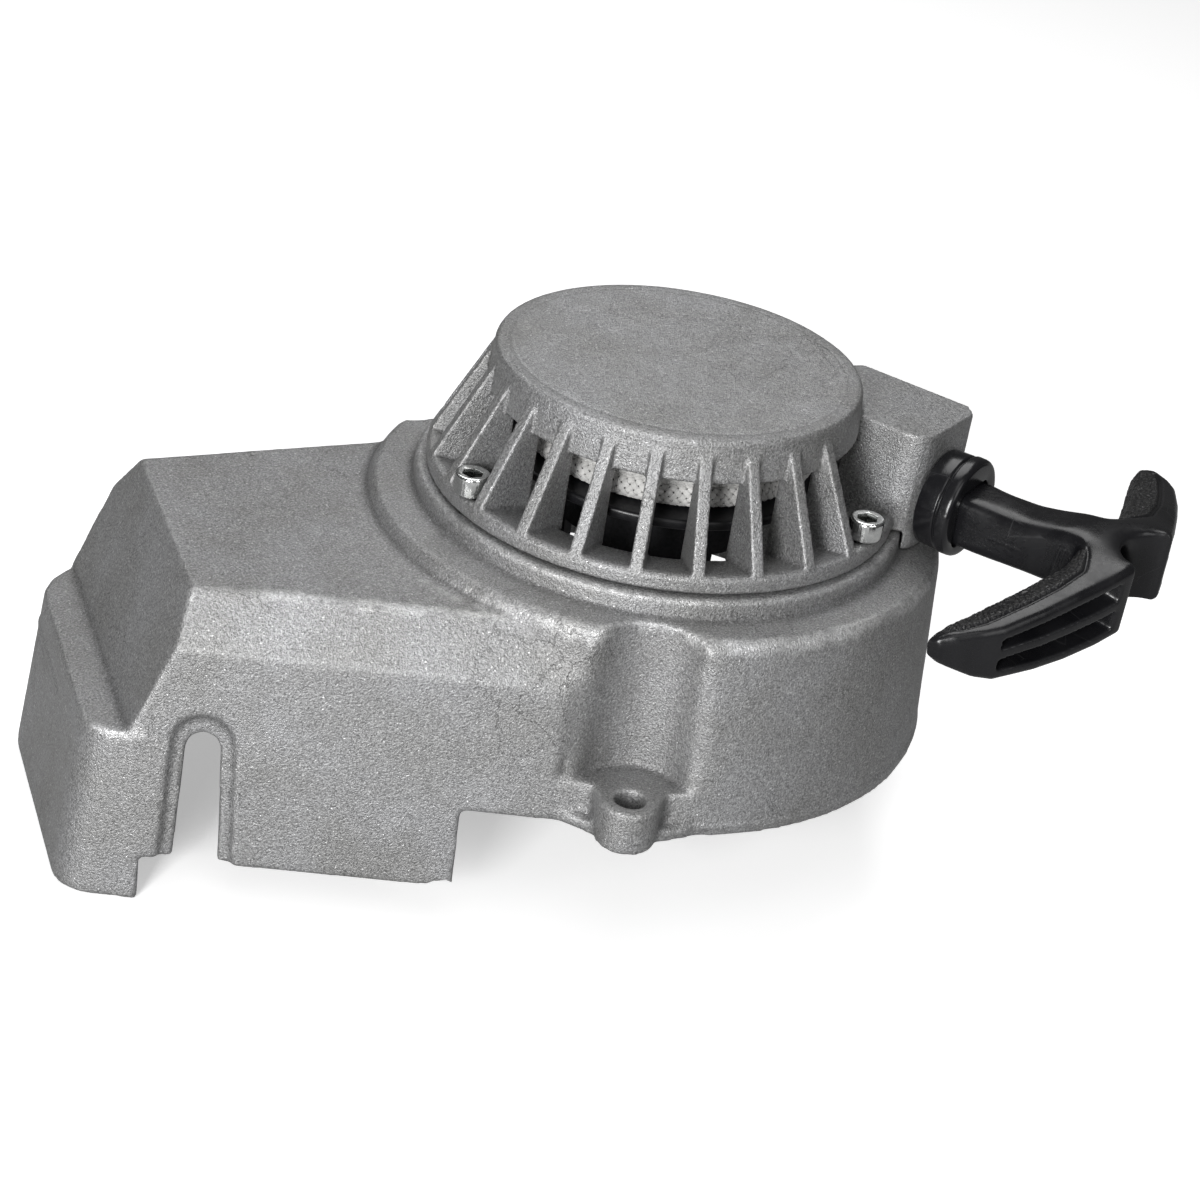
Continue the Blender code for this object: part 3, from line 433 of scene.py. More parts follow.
def grid_mesh(name, rings, closed_rings=True, cap=True):
    """Joins rings of equal length; each ring is an array of points in millimetres."""
    rings = [np.asarray(ring, float) for ring in rings]
    count, size = len(rings), len(rings[0])
    points = np.concatenate(rings)
    faces = []
    last = size if closed_rings else size - 1
    for k in range(count - 1):
        for i in range(last):
            j = (i + 1) % size
            faces.append((k * size + i, k * size + j, (k + 1) * size + j, (k + 1) * size + i))
    if cap:
        faces.append(tuple(range(size))[::-1])
        faces.append(tuple(range((count - 1) * size, count * size)))
    return points, faces


def lathe(profile, segments, centre=(0.0, 0.0), ripple=None):
    """Closed (r, z) profile turned about a vertical axis; ripple changes a radius with its angle."""
    angles = np.arange(segments) * 2 * math.pi / segments
    points, faces = [], []
    count = len(profile)
    for k, (radius, height) in enumerate(profile):
        r = np.full(segments, radius, float)
        if ripple is not None:
            r = ripple(k, r, angles)
        points.append(np.stack([centre[0] + r * np.cos(angles), centre[1] + r * np.sin(angles), np.full(segments, height)], 1))
    points = np.concatenate(points)
    for k in range(count):
        m = (k + 1) % count
        for i in range(segments):
            j = (i + 1) % segments
            faces.append((k * segments + i, k * segments + j, m * segments + j, m * segments + i))
    return points, faces


def join(parts):
    points, faces, base = [], [], 0
    for p, f in parts:
        points.append(np.asarray(p, float))
        faces += [tuple(i + base for i in face) for face in f]
        base += len(p)
    return np.concatenate(points), faces


def round_profile(profile, radius=0.4, steps=4):
    """Rounds each corner of a closed (r, z) profile; a corner may carry its own radius."""
    out = []
    count = len(profile)
    for i in range(count):
        a, b, c = (np.array(profile[(i + k) % count][:2], float) for k in (-1, 0, 1))
        own = profile[i][2] if len(profile[i]) > 2 else radius
        u, v = a - b, c - b
        lu, lv = np.linalg.norm(u), np.linalg.norm(v)
        u, v = u / lu, v / lv
        half = math.acos(max(-1.0, min(1.0, float(u @ v)))) / 2
        cut = min(own / max(math.tan(half), 1e-3), lu * 0.45, lv * 0.45)
        if own <= 0 or half > 1.5:
            out.append(tuple(b))
            continue
        for k in range(steps + 1):
            t = k / steps
            p = (1 - t) ** 2 * (b + u * cut) + 2 * t * (1 - t) * b + t**2 * (b + v * cut)
            out.append(tuple(p))
    return out


def clean(mesh, angle=35.0, smooth=True):
    bm = bmesh.new()
    bm.from_mesh(mesh)
    bmesh.ops.remove_doubles(bm, verts=bm.verts, dist=1e-7)
    bmesh.ops.recalc_face_normals(bm, faces=bm.faces)
    bm.to_mesh(mesh)
    bm.free()
    if smooth:
        mesh.shade_smooth()
        mesh.set_sharp_from_angle(angle=math.radians(angle))
    return mesh


def arrays(mesh):
    co = np.empty(len(mesh.vertices) * 3)
    mesh.vertices.foreach_get("co", co)
    normals = np.empty(len(mesh.vertices) * 3)
    mesh.vertex_normals.foreach_get("vector", normals)
    edges = np.empty(len(mesh.edges) * 2, np.int64)
    mesh.edges.foreach_get("vertices", edges)
    return co.reshape(-1, 3) / MM, normals.reshape(-1, 3), edges.reshape(-1, 2)


def put_points(mesh, points):
    mesh.vertices.foreach_set("co", (points * MM).astype(np.float64).ravel())
    mesh.update()


class Mesher:
    """Smoothing over a mesh's own edges."""

    def __init__(self, count, edges):
        self.a, self.b, self.count = edges[:, 0], edges[:, 1], count
        self.degree = np.maximum(np.bincount(self.a, minlength=count) + np.bincount(self.b, minlength=count), 1)

    def mean(self, values):
        values = values.reshape(self.count, -1)
        out = np.empty_like(values, float)
        for k in range(values.shape[1]):
            column = values[:, k]
            out[:, k] = (np.bincount(self.a, column[self.b], self.count) + np.bincount(self.b, column[self.a], self.count)) / self.degree
        return out

    def smooth(self, values, times, share=0.6):
        shape = values.shape
        values = values.reshape(self.count, -1).astype(float)
        for _ in range(times):
            values = values * (1 - share) + self.mean(values) * share
        return values.reshape(shape)


def remeshed(name, sources, voxel, times):
    """One even mesh over the CAD solid, with its edges worn round. Returns the mesh and a Mesher over its edges."""
    bm = bmesh.new()
    for source in sources:
        bm.from_mesh(source)
    bmesh.ops.remove_doubles(bm, verts=bm.verts, dist=2e-6)
    bmesh.ops.recalc_face_normals(bm, faces=bm.faces)
    mesh = bpy.data.meshes.new(name + "_source")
    bm.to_mesh(mesh)
    bm.free()
    temp = bpy.data.objects.new(name + "_source", mesh)
    scene.collection.objects.link(temp)
    modifier = temp.modifiers.new("remesh", "REMESH")
    modifier.mode, modifier.voxel_size, modifier.adaptivity = "VOXEL", voxel * MM, 0.0
    graph = bpy.context.evaluated_depsgraph_get()
    made = bpy.data.meshes.new_from_object(temp.evaluated_get(graph))
    bpy.data.objects.remove(temp, do_unlink=True)
    made.name = name
    points, normals, edges = arrays(made)
    mesher = Mesher(len(points), edges)
    points = mesher.smooth(points, times)
    put_points(made, points)
    made.shade_smooth()
    return made, mesher


def worn_lines(points, lines):
    """Share of bright rubbing along given lines, ragged in width and broken here and there."""
    total = np.zeros(len(points))
    for path, half in lines:
        path = np.asarray(path, float)
        near = np.full(len(points), 1e9)
        for a, b in zip(path, path[1:]):
            d = b - a
            t = np.clip(((points - a) @ d) / (d @ d), 0, 1)
            near = np.minimum(near, np.linalg.norm(points - (a + t[:, None] * d), axis=1))
        ragged = half * (1.0 + 0.55 * lattice_noise(points, 1.7, 41) + 0.35 * lattice_noise(points, 0.7, 42))
        broken = np.clip(0.85 + 0.9 * lattice_noise(points, 6.0, 43), 0, 1)
        total = np.maximum(total, np.clip(1.25 - near / np.maximum(ragged, 0.15), 0, 1) * broken)
    return total


def store_edges(mesh, mesher, gain, blur=2, lines=()):
    """Writes how convex and how concave each point is, for worn edges and for darker concave creases."""
    points, normals, _ = arrays(mesh)
    curve = ((points - mesher.smooth(points, 4)) * normals).sum(1)
    curve = mesher.smooth(curve, blur)
    scale = np.percentile(np.abs(curve), 98.5) / gain
    for key, values in (("edge", np.clip(curve / scale, 0, 1)), ("hollow", np.clip(-curve / scale, 0, 1))):
        layer = mesh.attributes.new(key, "FLOAT", "POINT")
        layer.data.foreach_set("value", values.astype(np.float32))
    layer = mesh.attributes.new("worn", "FLOAT", "POINT")
    layer.data.foreach_set("value", worn_lines(points, lines).astype(np.float32))


def lattice_noise(points, scale, seed=0):
    """Smooth value noise from -1 to 1, at one value for each scale millimetres."""
    p = points / scale
    base = np.floor(p).astype(np.int64)
    f = p - base
    f = f * f * (3 - 2 * f)

    def corner(dx, dy, dz):
        h = (base[:, 0] + dx) * 374761393 + (base[:, 1] + dy) * 668265263 + (base[:, 2] + dz) * 1274126177 + seed * 974711
        h = (h ^ (h >> 13)) * 1103515245
        h = (h ^ (h >> 16)) & 0xFFFFFF
        return h / float(0xFFFFFF) * 2 - 1

    total = 0.0
    for dx in (0, 1):
        for dy in (0, 1):
            for dz in (0, 1):
                weight = (f[:, 0] if dx else 1 - f[:, 0]) * (f[:, 1] if dy else 1 - f[:, 1]) * (f[:, 2] if dz else 1 - f[:, 2])
                total = total + weight * corner(dx, dy, dz)
    return total


def groove(points, normals, path, half, depth):
    """Sinks a line into the surface, half wide each way; a negative depth raises a ridge."""
    path = np.asarray(path, float)
    near = np.full(len(points), 1e9)
    for a, b in zip(path, path[1:]):
        d = b - a
        t = np.clip(((points - a) @ d) / max(d @ d, 1e-9), 0, 1)
        near = np.minimum(near, np.linalg.norm(points - (a + t[:, None] * d), axis=1))
    share = np.clip(1 - (near / half) ** 2, 0, 1)
    return points - normals * (depth * share)[:, None], share


def relaxed(mesher, points, weight, times):
    """Smooths only where weight is above nothing."""
    soft = points
    for _ in range(times):
        soft = soft + (mesher.mean(soft) - soft) * (0.6 * weight)[:, None]
    return soft


def node_mesh(name):
    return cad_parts[name].data


# --- materials ------------------------------------------------------------------------------
cover_metal = cast_aluminium("cast_cover")
cap_metal = cast_aluminium("cast_cap", top_radius=33.2, rub=0.1)
zinc = zinc_plate("zinc_plate")
pulley_black = black_plastic("pulley_plastic", roughness=0.36)
grip_black = black_plastic("grip_plastic", pad=True, roughness=0.27)
collar_black = black_plastic("collar_plastic", roughness=0.2)
rope_white = rope_fibre("rope_fibre")
bronze = plain_metal("sintered_bronze", (0.30, 0.21, 0.10), (0.48, 0.34, 0.17), 0.38, 0.55)
blued = plain_metal("blued_strip", (0.06, 0.07, 0.10), (0.14, 0.15, 0.19), 0.22, 0.4)
oxide = plain_metal("black_oxide", (0.018, 0.018, 0.02), (0.035, 0.035, 0.038), 0.34, 0.5, metallic=0.7)

# --- castings ---------------------------------------------------------------------------------
VOXEL = 0.5


def build_cover():
    mesh, mesher = remeshed("cover_casting", [node_mesh("fan_cover")], VOXEL, 7)
    points, normals, _ = arrays(mesh)
    x, y, z = points.T
    # Soft shoulders of the swale above the front lug.
    lug = np.array([math.cos(math.radians(-110.7)), math.sin(math.radians(-110.7))])
    along, aside = points[:, :2] @ lug, points[:, :2] @ np.array([-lug[1], lug[0]])
    soft = np.clip((22.0 - np.abs(aside)) / 8.0, 0, 1) * np.clip((along - 44.0) / 6.0, 0, 1) * np.clip((z - 12.5) / 3.0, 0, 1) * np.clip((38.0 - z) / 4.0, 0, 1)
    points = relaxed(mesher, points, soft, 40)
    radius = np.hypot(points[:, 0], points[:, 1])
    x, y, z = points.T
    # The casting is never quite flat.
    lift = 0.07 * lattice_noise(points, 17.0, 3) + 0.035 * lattice_noise(points, 6.0, 5)
    fade = np.clip((z + 0.5) / 3.0, 0, 1) * np.clip((39.0 - np.abs(z - 20.0)) / 3.0, 0, 1)
    points = points + normals * (lift * np.clip(fade + 0.25, 0, 1))[:, None]
    # Parting line of the two dies, round the drum's rim.
    angle = np.degrees(np.arctan2(y, x))
    outside = np.clip((radius - 58.4) / 0.8, 0, 1) * np.clip((angle + 104.0) / 3.0, 0, 1)
    points[:, :2] += (points[:, :2] / np.maximum(radius, 1.0)[:, None]) * (0.22 * np.clip(1 - (np.abs(points[:, 2] - 2.2) / 0.9) ** 2, 0, 1) * outside)[:, None]
    # A corner of the skirt is broken off beside the step.
    x, y, z = points.T
    ragged = 0.35 * lattice_noise(np.stack([x, y * 0 + 3.0, z * 0], 1), 1.1, 9)
    floor = np.where((x > -57.5) & (x < -49.0) & (y < -20), -15.5 + ragged - np.clip((-52.5 - x) / 5.0, 0, 1) * 1.7, -99.0)
    points[:, 2] = np.where((z < floor) & (z < -14.5), floor, z)
    put_points(mesh, points)
    lines = [
        ([(-92.5, -23.6, 37.3), (-69.3, -30.4, 37.4), (-48.1, -37.2, 37.4), (-39.0, -40.4, 37.4)], 1.5),
        ([(-54.6, -25.0, 39.6), (-48.5, -35.0, 39.6), (-41.0, -42.0, 39.6), (-30.0, -48.8, 39.6), (-24.5, -50.2, 39.6)], 2.1),
        ([(-24.0, -50.5, 39.6), (-20.0, -48.8, 39.8), (-13.6, -52.6, 39.6), (-5.4, -56.6, 39.6), (7.2, -56.9, 39.6), (21.3, -53.2, 39.6), (35.7, -45.6, 39.6), (44.0, -37.8, 39.6)], 1.5),
        ([(-117.4, -21.4, 9.3), (-113.6, -25.4, 9.3), (-108.4, -28.0, 9.3)], 1.5),
    ]
    store_edges(mesh, mesher, 1.15, lines=lines)
    return new_piece("cover_casting", mesh, cover_metal, "root", ["fan_cover"])


def build_cap():
    mesh, mesher = remeshed("starter_cap", [node_mesh("starter_housing")], 0.33, 2)
    points, normals, _ = arrays(mesh)
    radius = np.hypot(points[:, 0], points[:, 1])
    z = points[:, 2]
    on_top = np.clip((z - 70.5) / 0.4, 0, 1) * np.clip((35.6 - radius) / 0.5, 0, 1)
    ring = np.clip(1 - (np.abs(radius - 33.3) / 0.45) ** 2, 0, 1)
    lift = 0.05 * lattice_noise(points, 9.0, 21) + 0.02 * lattice_noise(points, 3.0, 22)
    points = points + normals * (lift * 0.6)[:, None]
    points[:, 2] -= 0.10 * ring * on_top
    put_points(mesh, points)
    lines = [([(-13.4, 22.5, 71.2), (-12.0, 22.6, 71.2), (-11.0, 22.4, 71.2)], 0.22)]
    store_edges(mesh, mesher, 1.1, blur=1, lines=lines)
    return new_piece("starter_cap", mesh, cap_metal, "root", ["starter_housing"])


build_cover()
build_cap()


# --- screws --------------------------------------------------------------------------------------
def cap_screw(name, node, material, body):
    """Socket cap screw: knurled head, hexagon socket, chamfers and a plain shank."""
    low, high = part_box(node)
    low, high = np.array(low) / MM, np.array(high) / MM
    centre = ((low[0] + high[0]) / 2, (low[1] + high[1]) / 2)
    head_r = (high[0] - low[0]) / 2
    upward = node.startswith("housing")
    shank_end, head_top = (low[2], high[2]) if upward else (high[2], low[2])
    head_height = {"housing": 4.0, "centre_": 4.1}.get(node[:7], 2.0)
    way = 1.0 if upward else -1.0
    head_z = head_top - way * head_height
    socket = head_r * 0.6
    depth = min(2.3, head_height * 0.55)
    segments = 96
    rings = [
        (0.02, head_top - way * (depth + 0.25), "round"),
        (socket * 0.5, head_top - way * (depth + 0.15), "hex"),
        (socket, head_top - way * depth, "hex"),
        (socket, head_top - way * 0.35, "hex"),
        (socket + 0.12, head_top - way * 0.12, "hex"),
        (socket + 0.5, head_top, "round"),
        (head_r - 0.55, head_top, "round"),
        (head_r - 0.28, head_top - way * 0.08, "round"),
        (head_r - 0.06, head_top - way * 0.38, "knurl"),
        (head_r - 0.02, head_top - way * 0.6, "knurl"),
        (head_r - 0.02, head_z + way * 0.35, "knurl"),
        (head_r - 0.12, head_z + way * 0.06, "round"),
        (head_r - 0.3, head_z, "round"),
        (head_r * 0.46, head_z, "round"),
        (head_r * 0.44, head_z - way * 0.3, "round"),
        (head_r * 0.44, shank_end + way * 0.5, "round"),
        (head_r * 0.36, shank_end, "round"),
        (0.02, shank_end, "round"),
    ]
    angles = np.arange(segments) * 2 * math.pi / segments
    made = []
    for radius, height, kind in rings:
        r = np.full(segments, radius)
        if kind == "hex":
            r = radius * math.cos(math.pi / 6) / np.cos((angles % (math.pi / 3)) - math.pi / 6)
        if kind == "knurl":
            r = radius - 0.07 * (0.5 + 0.5 * np.cos(angles * 32))
        made.append(np.stack([centre[0] + r * np.cos(angles), centre[1] + r * np.sin(angles), np.full(segments, height)], 1))
    points, faces = grid_mesh(name, made)
    mesh = mesh_from(name, points, faces)
    # Painted shade: share of the socket's nearly black paint, full at its floor and fading up its walls.
    socket_shade = np.repeat([1.0, 1.0, 0.8, 0.15] + [0.0] * (len(rings) - 4), segments)
    mesh.attributes.new("socket_shade", "FLOAT", "POINT").data.foreach_set("value", socket_shade.astype(np.float32))
    return new_piece(name, clean(mesh, 40.0), material, body, [node])


for index in (1, 2, 3):
    cap_screw(f"cap_screw_{index}", f"housing_screw_{index}", zinc, "root")
    cap_screw(f"drive_screw_{index}", f"cup_screw_{index}", zinc, "pulley")
cap_screw("middle_screw", "centre_screw", zinc, "root")

# --- rope --------------------------------------------------------------------------------------------
PULL_ANGLE = math.radians(-54.5)
PULL = np.array([math.cos(PULL_ANGLE), math.sin(PULL_ANGLE), 0.0])
ACROSS = np.array([-PULL[1], PULL[0], 0.0])
UP = np.array([0.0, 0.0, 1.0])
GUIDE_Z, ROPE_Z, BLOCK_FACE = 51.0, 54.3, 47.3
TANGENT = ACROSS * 27.5
GUIDE_AXIS = TANGENT + UP * GUIDE_Z


def braid(path, radius, pitch=11.5, pairs=8, step=0.26, thick=0.34):
    """Woven yarns round a path: pairs of yarns each way, passing over and under each other."""
    path = np.asarray(path, float)
    gaps = np.linalg.norm(np.diff(path, axis=0), axis=1)
    along = np.concatenate([[0.0], np.cumsum(gaps)])
    count = max(int(along[-1] / step), 8)
    at = np.linspace(0, along[-1], count)
    line = np.stack([np.interp(at, along, path[:, k]) for k in range(3)], 1)
    for _ in range(3):
        line[1:-1] = (line[:-2] + line[2:] + 2 * line[1:-1]) / 4
    tangent = np.gradient(line, axis=0)
    tangent /= np.linalg.norm(tangent, axis=1)[:, None]
    normal = np.empty_like(tangent)
    current = np.cross(tangent[0], UP)
    for k in range(count):
        current = current - tangent[k] * (current @ tangent[k])
        current /= np.linalg.norm(current)
        normal[k] = current
    side = np.cross(tangent, normal)
    omega = 2 * math.pi / pitch
    wide = 2 * math.pi * radius / pairs * math.cos(math.atan(omega * radius)) * 0.88
    section = [(math.cos(a), math.sin(a)) for a in np.arange(6) * math.pi / 3 + math.pi / 6]
    parts, depths = [], []
    for way in (1, -1):
        for strand in range(pairs):
            angle = 2 * math.pi * (strand + (0.25 if way > 0 else -0.25)) / pairs + way * omega * at
            r = radius - thick * 0.55 + way * thick * 0.42 * np.cos(pairs * omega * at + math.pi / 2)
            out = normal * np.cos(angle)[:, None] + side * np.sin(angle)[:, None]
            centre = line + out * r[:, None]
            forward = np.gradient(centre, axis=0)
            forward /= np.linalg.norm(forward, axis=1)[:, None]
            cross = np.cross(forward, out)
            cross /= np.linalg.norm(cross, axis=1)[:, None]
            rings = np.stack([centre + cross * (u * wide / 2) + out * (v * thick / 2) for u, v in section], 1)
            size = len(section)
            points = rings.reshape(-1, 3)
            under = np.linalg.norm(rings - line[:, None, :], axis=2)
            depths.append(np.clip((radius - under) / thick, 0, 1).ravel())
            base = np.arange(count - 1)[:, None] * size + np.arange(size)[None, :]
            following = np.arange(count - 1)[:, None] * size + (np.arange(size)[None, :] + 1) % size
            quads = np.stack([base, following, following + size, base + size], -1).reshape(-1, 4)
            faces = [tuple(q) for q in quads.tolist()]
            faces.append(tuple(range(size))[::-1])
            faces.append(tuple(range((count - 1) * size, count * size)))
            parts.append((points, faces))
    core_r = radius - thick
    core = []
    for k in range(0, count, 6):
        core.append(np.array([line[k] + (normal[k] * math.cos(a) + side[k] * math.sin(a)) * core_r for a in np.arange(10) * math.pi / 5]))
    core.append(np.array([line[-1] + (normal[-1] * math.cos(a) + side[-1] * math.sin(a)) * core_r for a in np.arange(10) * math.pi / 5]))
    parts.append(grid_mesh("core", core))
    # The core lies fully under, so the rope material paints it in full shade.
    depths.append(np.ones(len(parts[-1][0])))
    points, faces = join(parts)
    return points, faces, np.concatenate(depths)


def woven(name, braided, extra=None):
    """The mesh of a braid; depth tells the material how far each point lies under the outermost yarn, and the
    material paints deeper points darker as painted shade.
    """
    points, faces, depth = braided
    if extra is not None:
        depth = np.concatenate([depth, np.ones(len(extra[0]))])
        points, faces = join([(points, faces), extra])
    mesh = mesh_from(name, points, faces)
    mesh.attributes.new("depth", "FLOAT", "POINT").data.foreach_set("value", depth.astype(np.float32))
    return clean(mesh, 60.0)


def build_rope():
    start = PULL_ANGLE + math.pi / 2
    # Two turns side by side on the outside of the winding, over a plain core of the turns beneath, painted nearly
    # black as shade.
    turns = []
    total = 2 * math.pi * 2 - 0.25
    for k in range(241):
        share = k / 240
        angle = start - 0.06 - total * share
        lift = 55.6 + 4.3 * np.clip((share * 2 - 0.93) / 0.16, 0, 1)
        turns.append((27.6 * math.cos(angle), 27.6 * math.sin(angle), lift))
    under = lathe(round_profile([(17.0, 53.4), (25.0, 53.4), (25.3, 56.5), (25.0, 60.0), (17.0, 60.0)], 0.5), 96)
    mesh = woven("rope_winding", braid(turns, 2.3, pitch=11.0, pairs=7, step=0.26, thick=0.5), under)
    new_piece("rope_winding", mesh, rope_white, "pulley", ["rope_coil"])

    path = []
    for k in range(25):
        s = 16.5 + 19.4 * k / 24
        ease = min(max((s - 17.5) / 17.0, 0.0), 1.0)
        ease = ease * ease * (3 - 2 * ease)
        path.append(TANGENT + PULL * s + UP * (55.6 + (GUIDE_Z - 55.6) * ease))
    new_piece("rope_to_guide", woven("rope_to_guide", braid(path, 2.05)), rope_white, "root", ["rope_run"])

    lead_rope = rope_fibre("rope_lead_fibre", along=(GUIDE_AXIS, PULL, ACROSS, UP, 2.1))
    rings = []
    for s in np.linspace(36.3, 77.9, 60):
        rings.append(np.array([GUIDE_AXIS + PULL * s + (ACROSS * math.cos(a) + UP * math.sin(a)) * 2.08 for a in np.arange(32) * math.pi / 16]))
    points, faces = grid_mesh("rope_lead_braid", rings)
    mesh = clean(mesh_from("rope_lead_braid", points, faces), 60.0)
    mesh.materials.clear()
    mesh.materials.append(lead_rope)
    lead = bpy.data.objects.new("rope_lead_braid", mesh)
    scene.collection.objects.link(lead)
    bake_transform(lead)
    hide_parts("rope_lead")

    # Knots: three-lobed turns of the same rope.
    def knot(name, centre, axis, spread, tall, body, node):
        axis = np.asarray(axis, float)
        u = np.cross(axis, (0.3, 0.2, 0.93))
        u /= np.linalg.norm(u)
        v = np.cross(axis, u)
        path = []
        for k in range(73):
            t = 2 * math.pi * k / 72
            path.append(centre + (u * (math.sin(t) + 2 * math.sin(2 * t)) + v * (math.cos(t) - 2 * math.cos(2 * t))) * spread / 3 + axis * (-math.sin(3 * t)) * tall)
        mesh = woven(name, braid(path, 1.35, pitch=8.0, step=0.3, thick=0.3))
        new_piece(name, mesh, rope_white, body, [node])

    def middle(node):
        low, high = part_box(node)
        return (np.array(low) + np.array(high)) / 2 / MM

    knot("handle_end_knot", middle("handle_knot"), PULL, 2.15, 1.5, "handle", "handle_knot")
    knot("pulley_end_knot", middle("pulley_knot"), UP, 1.6, 1.4, "pulley", "pulley_knot")


build_rope()


# --- pulley, cup, bush, spring and covers ------------------------------------------------------------
def turned_piece(name, profile, segments, material, body, replaced, centre=(0.0, 0.0), radius=0.35, ripple=None, place=None):
    points, faces = lathe(round_profile(profile, radius), segments, centre, ripple)
    if place is not None:
        points = place(points)
    mesh = clean(mesh_from(name, points, faces), 50.0)
    return new_piece(name, mesh, material, body, replaced)


def build_inside():
    turned_piece(
        "rope_pulley",
        [(7.25, 47.0), (21.0, 47.0, 0.2), (21.0, 49.4, 0.6), (32.3, 50.2, 0.5), (32.5, 52.2, 0.8), (27.5, 53.0, 0.3), (16.4, 53.1, 1.2), (16.4, 60.3, 0.8), (27.5, 60.35, 0.3), (32.5, 60.5, 0.4), (32.5, 61.6, 0.5), (7.25, 61.6)],
        180,
        pulley_black,
        "pulley",
        ["pulley"],
    )
    for name, material in (("drive_cup", oxide), ("pulley_bush", bronze), ("recoil_spring", blued), ("spring_cover", zinc), ("retaining_washer", zinc), ("rope_stop_washer", zinc)):
        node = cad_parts[name]
        node.data.materials.clear()
        node.data.materials.append(material)


build_inside()


HANDLE_ROLL = math.radians(3.0)

# --- rope guide collar ----------------------------------------------------------------------------------
def along_pull(points):
    points = np.asarray(points, float)
    return GUIDE_AXIS + points[:, :1] * ACROSS - points[:, 1:2] * UP + points[:, 2:3] * PULL


def build_guide():
    f = BLOCK_FACE
    profile = [
        (2.7, 37.0),
        (4.6, 37.0),
        (4.6, f + 0.3, 0.2),
        (9.9, f + 0.3, 0.5),
        (10.0, f + 4.5, 0.5),
        (9.6, f + 4.8, 0.2),
        (9.6, f + 4.95, 0.2),
        (10.25, f + 5.3, 0.5),
        (10.2, f + 8.0, 2.4),
        (7.45, f + 7.9, 0.35),
        (7.45, f + 4.8, 0.1),
        (2.7, f + 4.8, 0.8),
    ]

    def mouth(angles):
        """Distance from the guide's axis to a rounded square 0.3 clear of the stem, at each angle."""
        turn = -angles - HANDLE_ROLL
        low_end, high_end = np.full(len(angles), 2.0), np.full(len(angles), 9.5)
        for _ in range(24):
            t = (low_end + high_end) / 2
            q, u = np.abs(t * np.cos(turn)) - 3.7, np.abs(t * np.sin(turn) + 1.05) - 3.7
            gap = np.hypot(np.maximum(q, 0), np.maximum(u, 0)) + np.minimum(np.maximum(q, u), 0) - 2.25
            low_end, high_end = np.where(gap < 0, t, low_end), np.where(gap < 0, high_end, t)
        return low_end

    def ripple(k, radius, angles):
        if 7.0 < radius[0] < 8.05:
            return mouth(angles) + (radius[0] - 7.45)
        # A faint parting line on both sides of the collar.
        line = np.exp(-((np.abs((angles % math.pi) - 0.12)) / 0.03) ** 2)
        return radius + np.where(radius > 9.2, 0.05 * line, 0.0)

    piece = turned_piece("rope_collar", profile, 256, collar_black, "root", ["rope_guide"], ripple=ripple, place=along_pull)
    return piece


build_guide()


# --- handle -----------------------------------------------------------------------------------------------
HALF = np.array(
    [
        # across, bulge, inner edge of the top face, outer face, lowest z, highest z
        (0.0, 80.4, 81.2, 94.6, 43.6, 58.3),
        (6.0, 80.8, 81.8, 94.1, 43.3, 58.2),
        (9.5, 81.0, 84.2, 93.4, 42.9, 57.9),
        (14.5, 80.2, 86.2, 91.9, 42.0, 56.9),
        (22.0, 77.9, 84.9, 89.3, 41.2, 55.7),
        (29.0, 75.6, 82.4, 86.6, 40.9, 54.2),
        (37.5, 72.8, 78.8, 82.6, 40.9, 52.4),
        (40.5, 71.9, 76.9, 80.2, 41.8, 51.8),
        (43.8, 71.2, 74.4, 76.7, 43.7, 50.8),
        (45.8, 71.2, 72.8, 73.8, 45.6, 49.5),
    ]
)


def to_handle(points):
    """Handle coordinates of a point: along the pull, across, and up, with the roll taken out."""
    d = points - GUIDE_AXIS
    s, q, u = d @ PULL, d @ ACROSS, d @ UP
    c, k = math.cos(HANDLE_ROLL), math.sin(HANDLE_ROLL)
    return s, q * c + u * k, -q * k + u * c + GUIDE_Z


def from_handle(s, q, z):
    c, k = math.cos(HANDLE_ROLL), math.sin(HANDLE_ROLL)
    u = z - GUIDE_Z
    return GUIDE_AXIS + PULL * s + ACROSS * (q * c - u * k) + UP * (q * k + u * c)


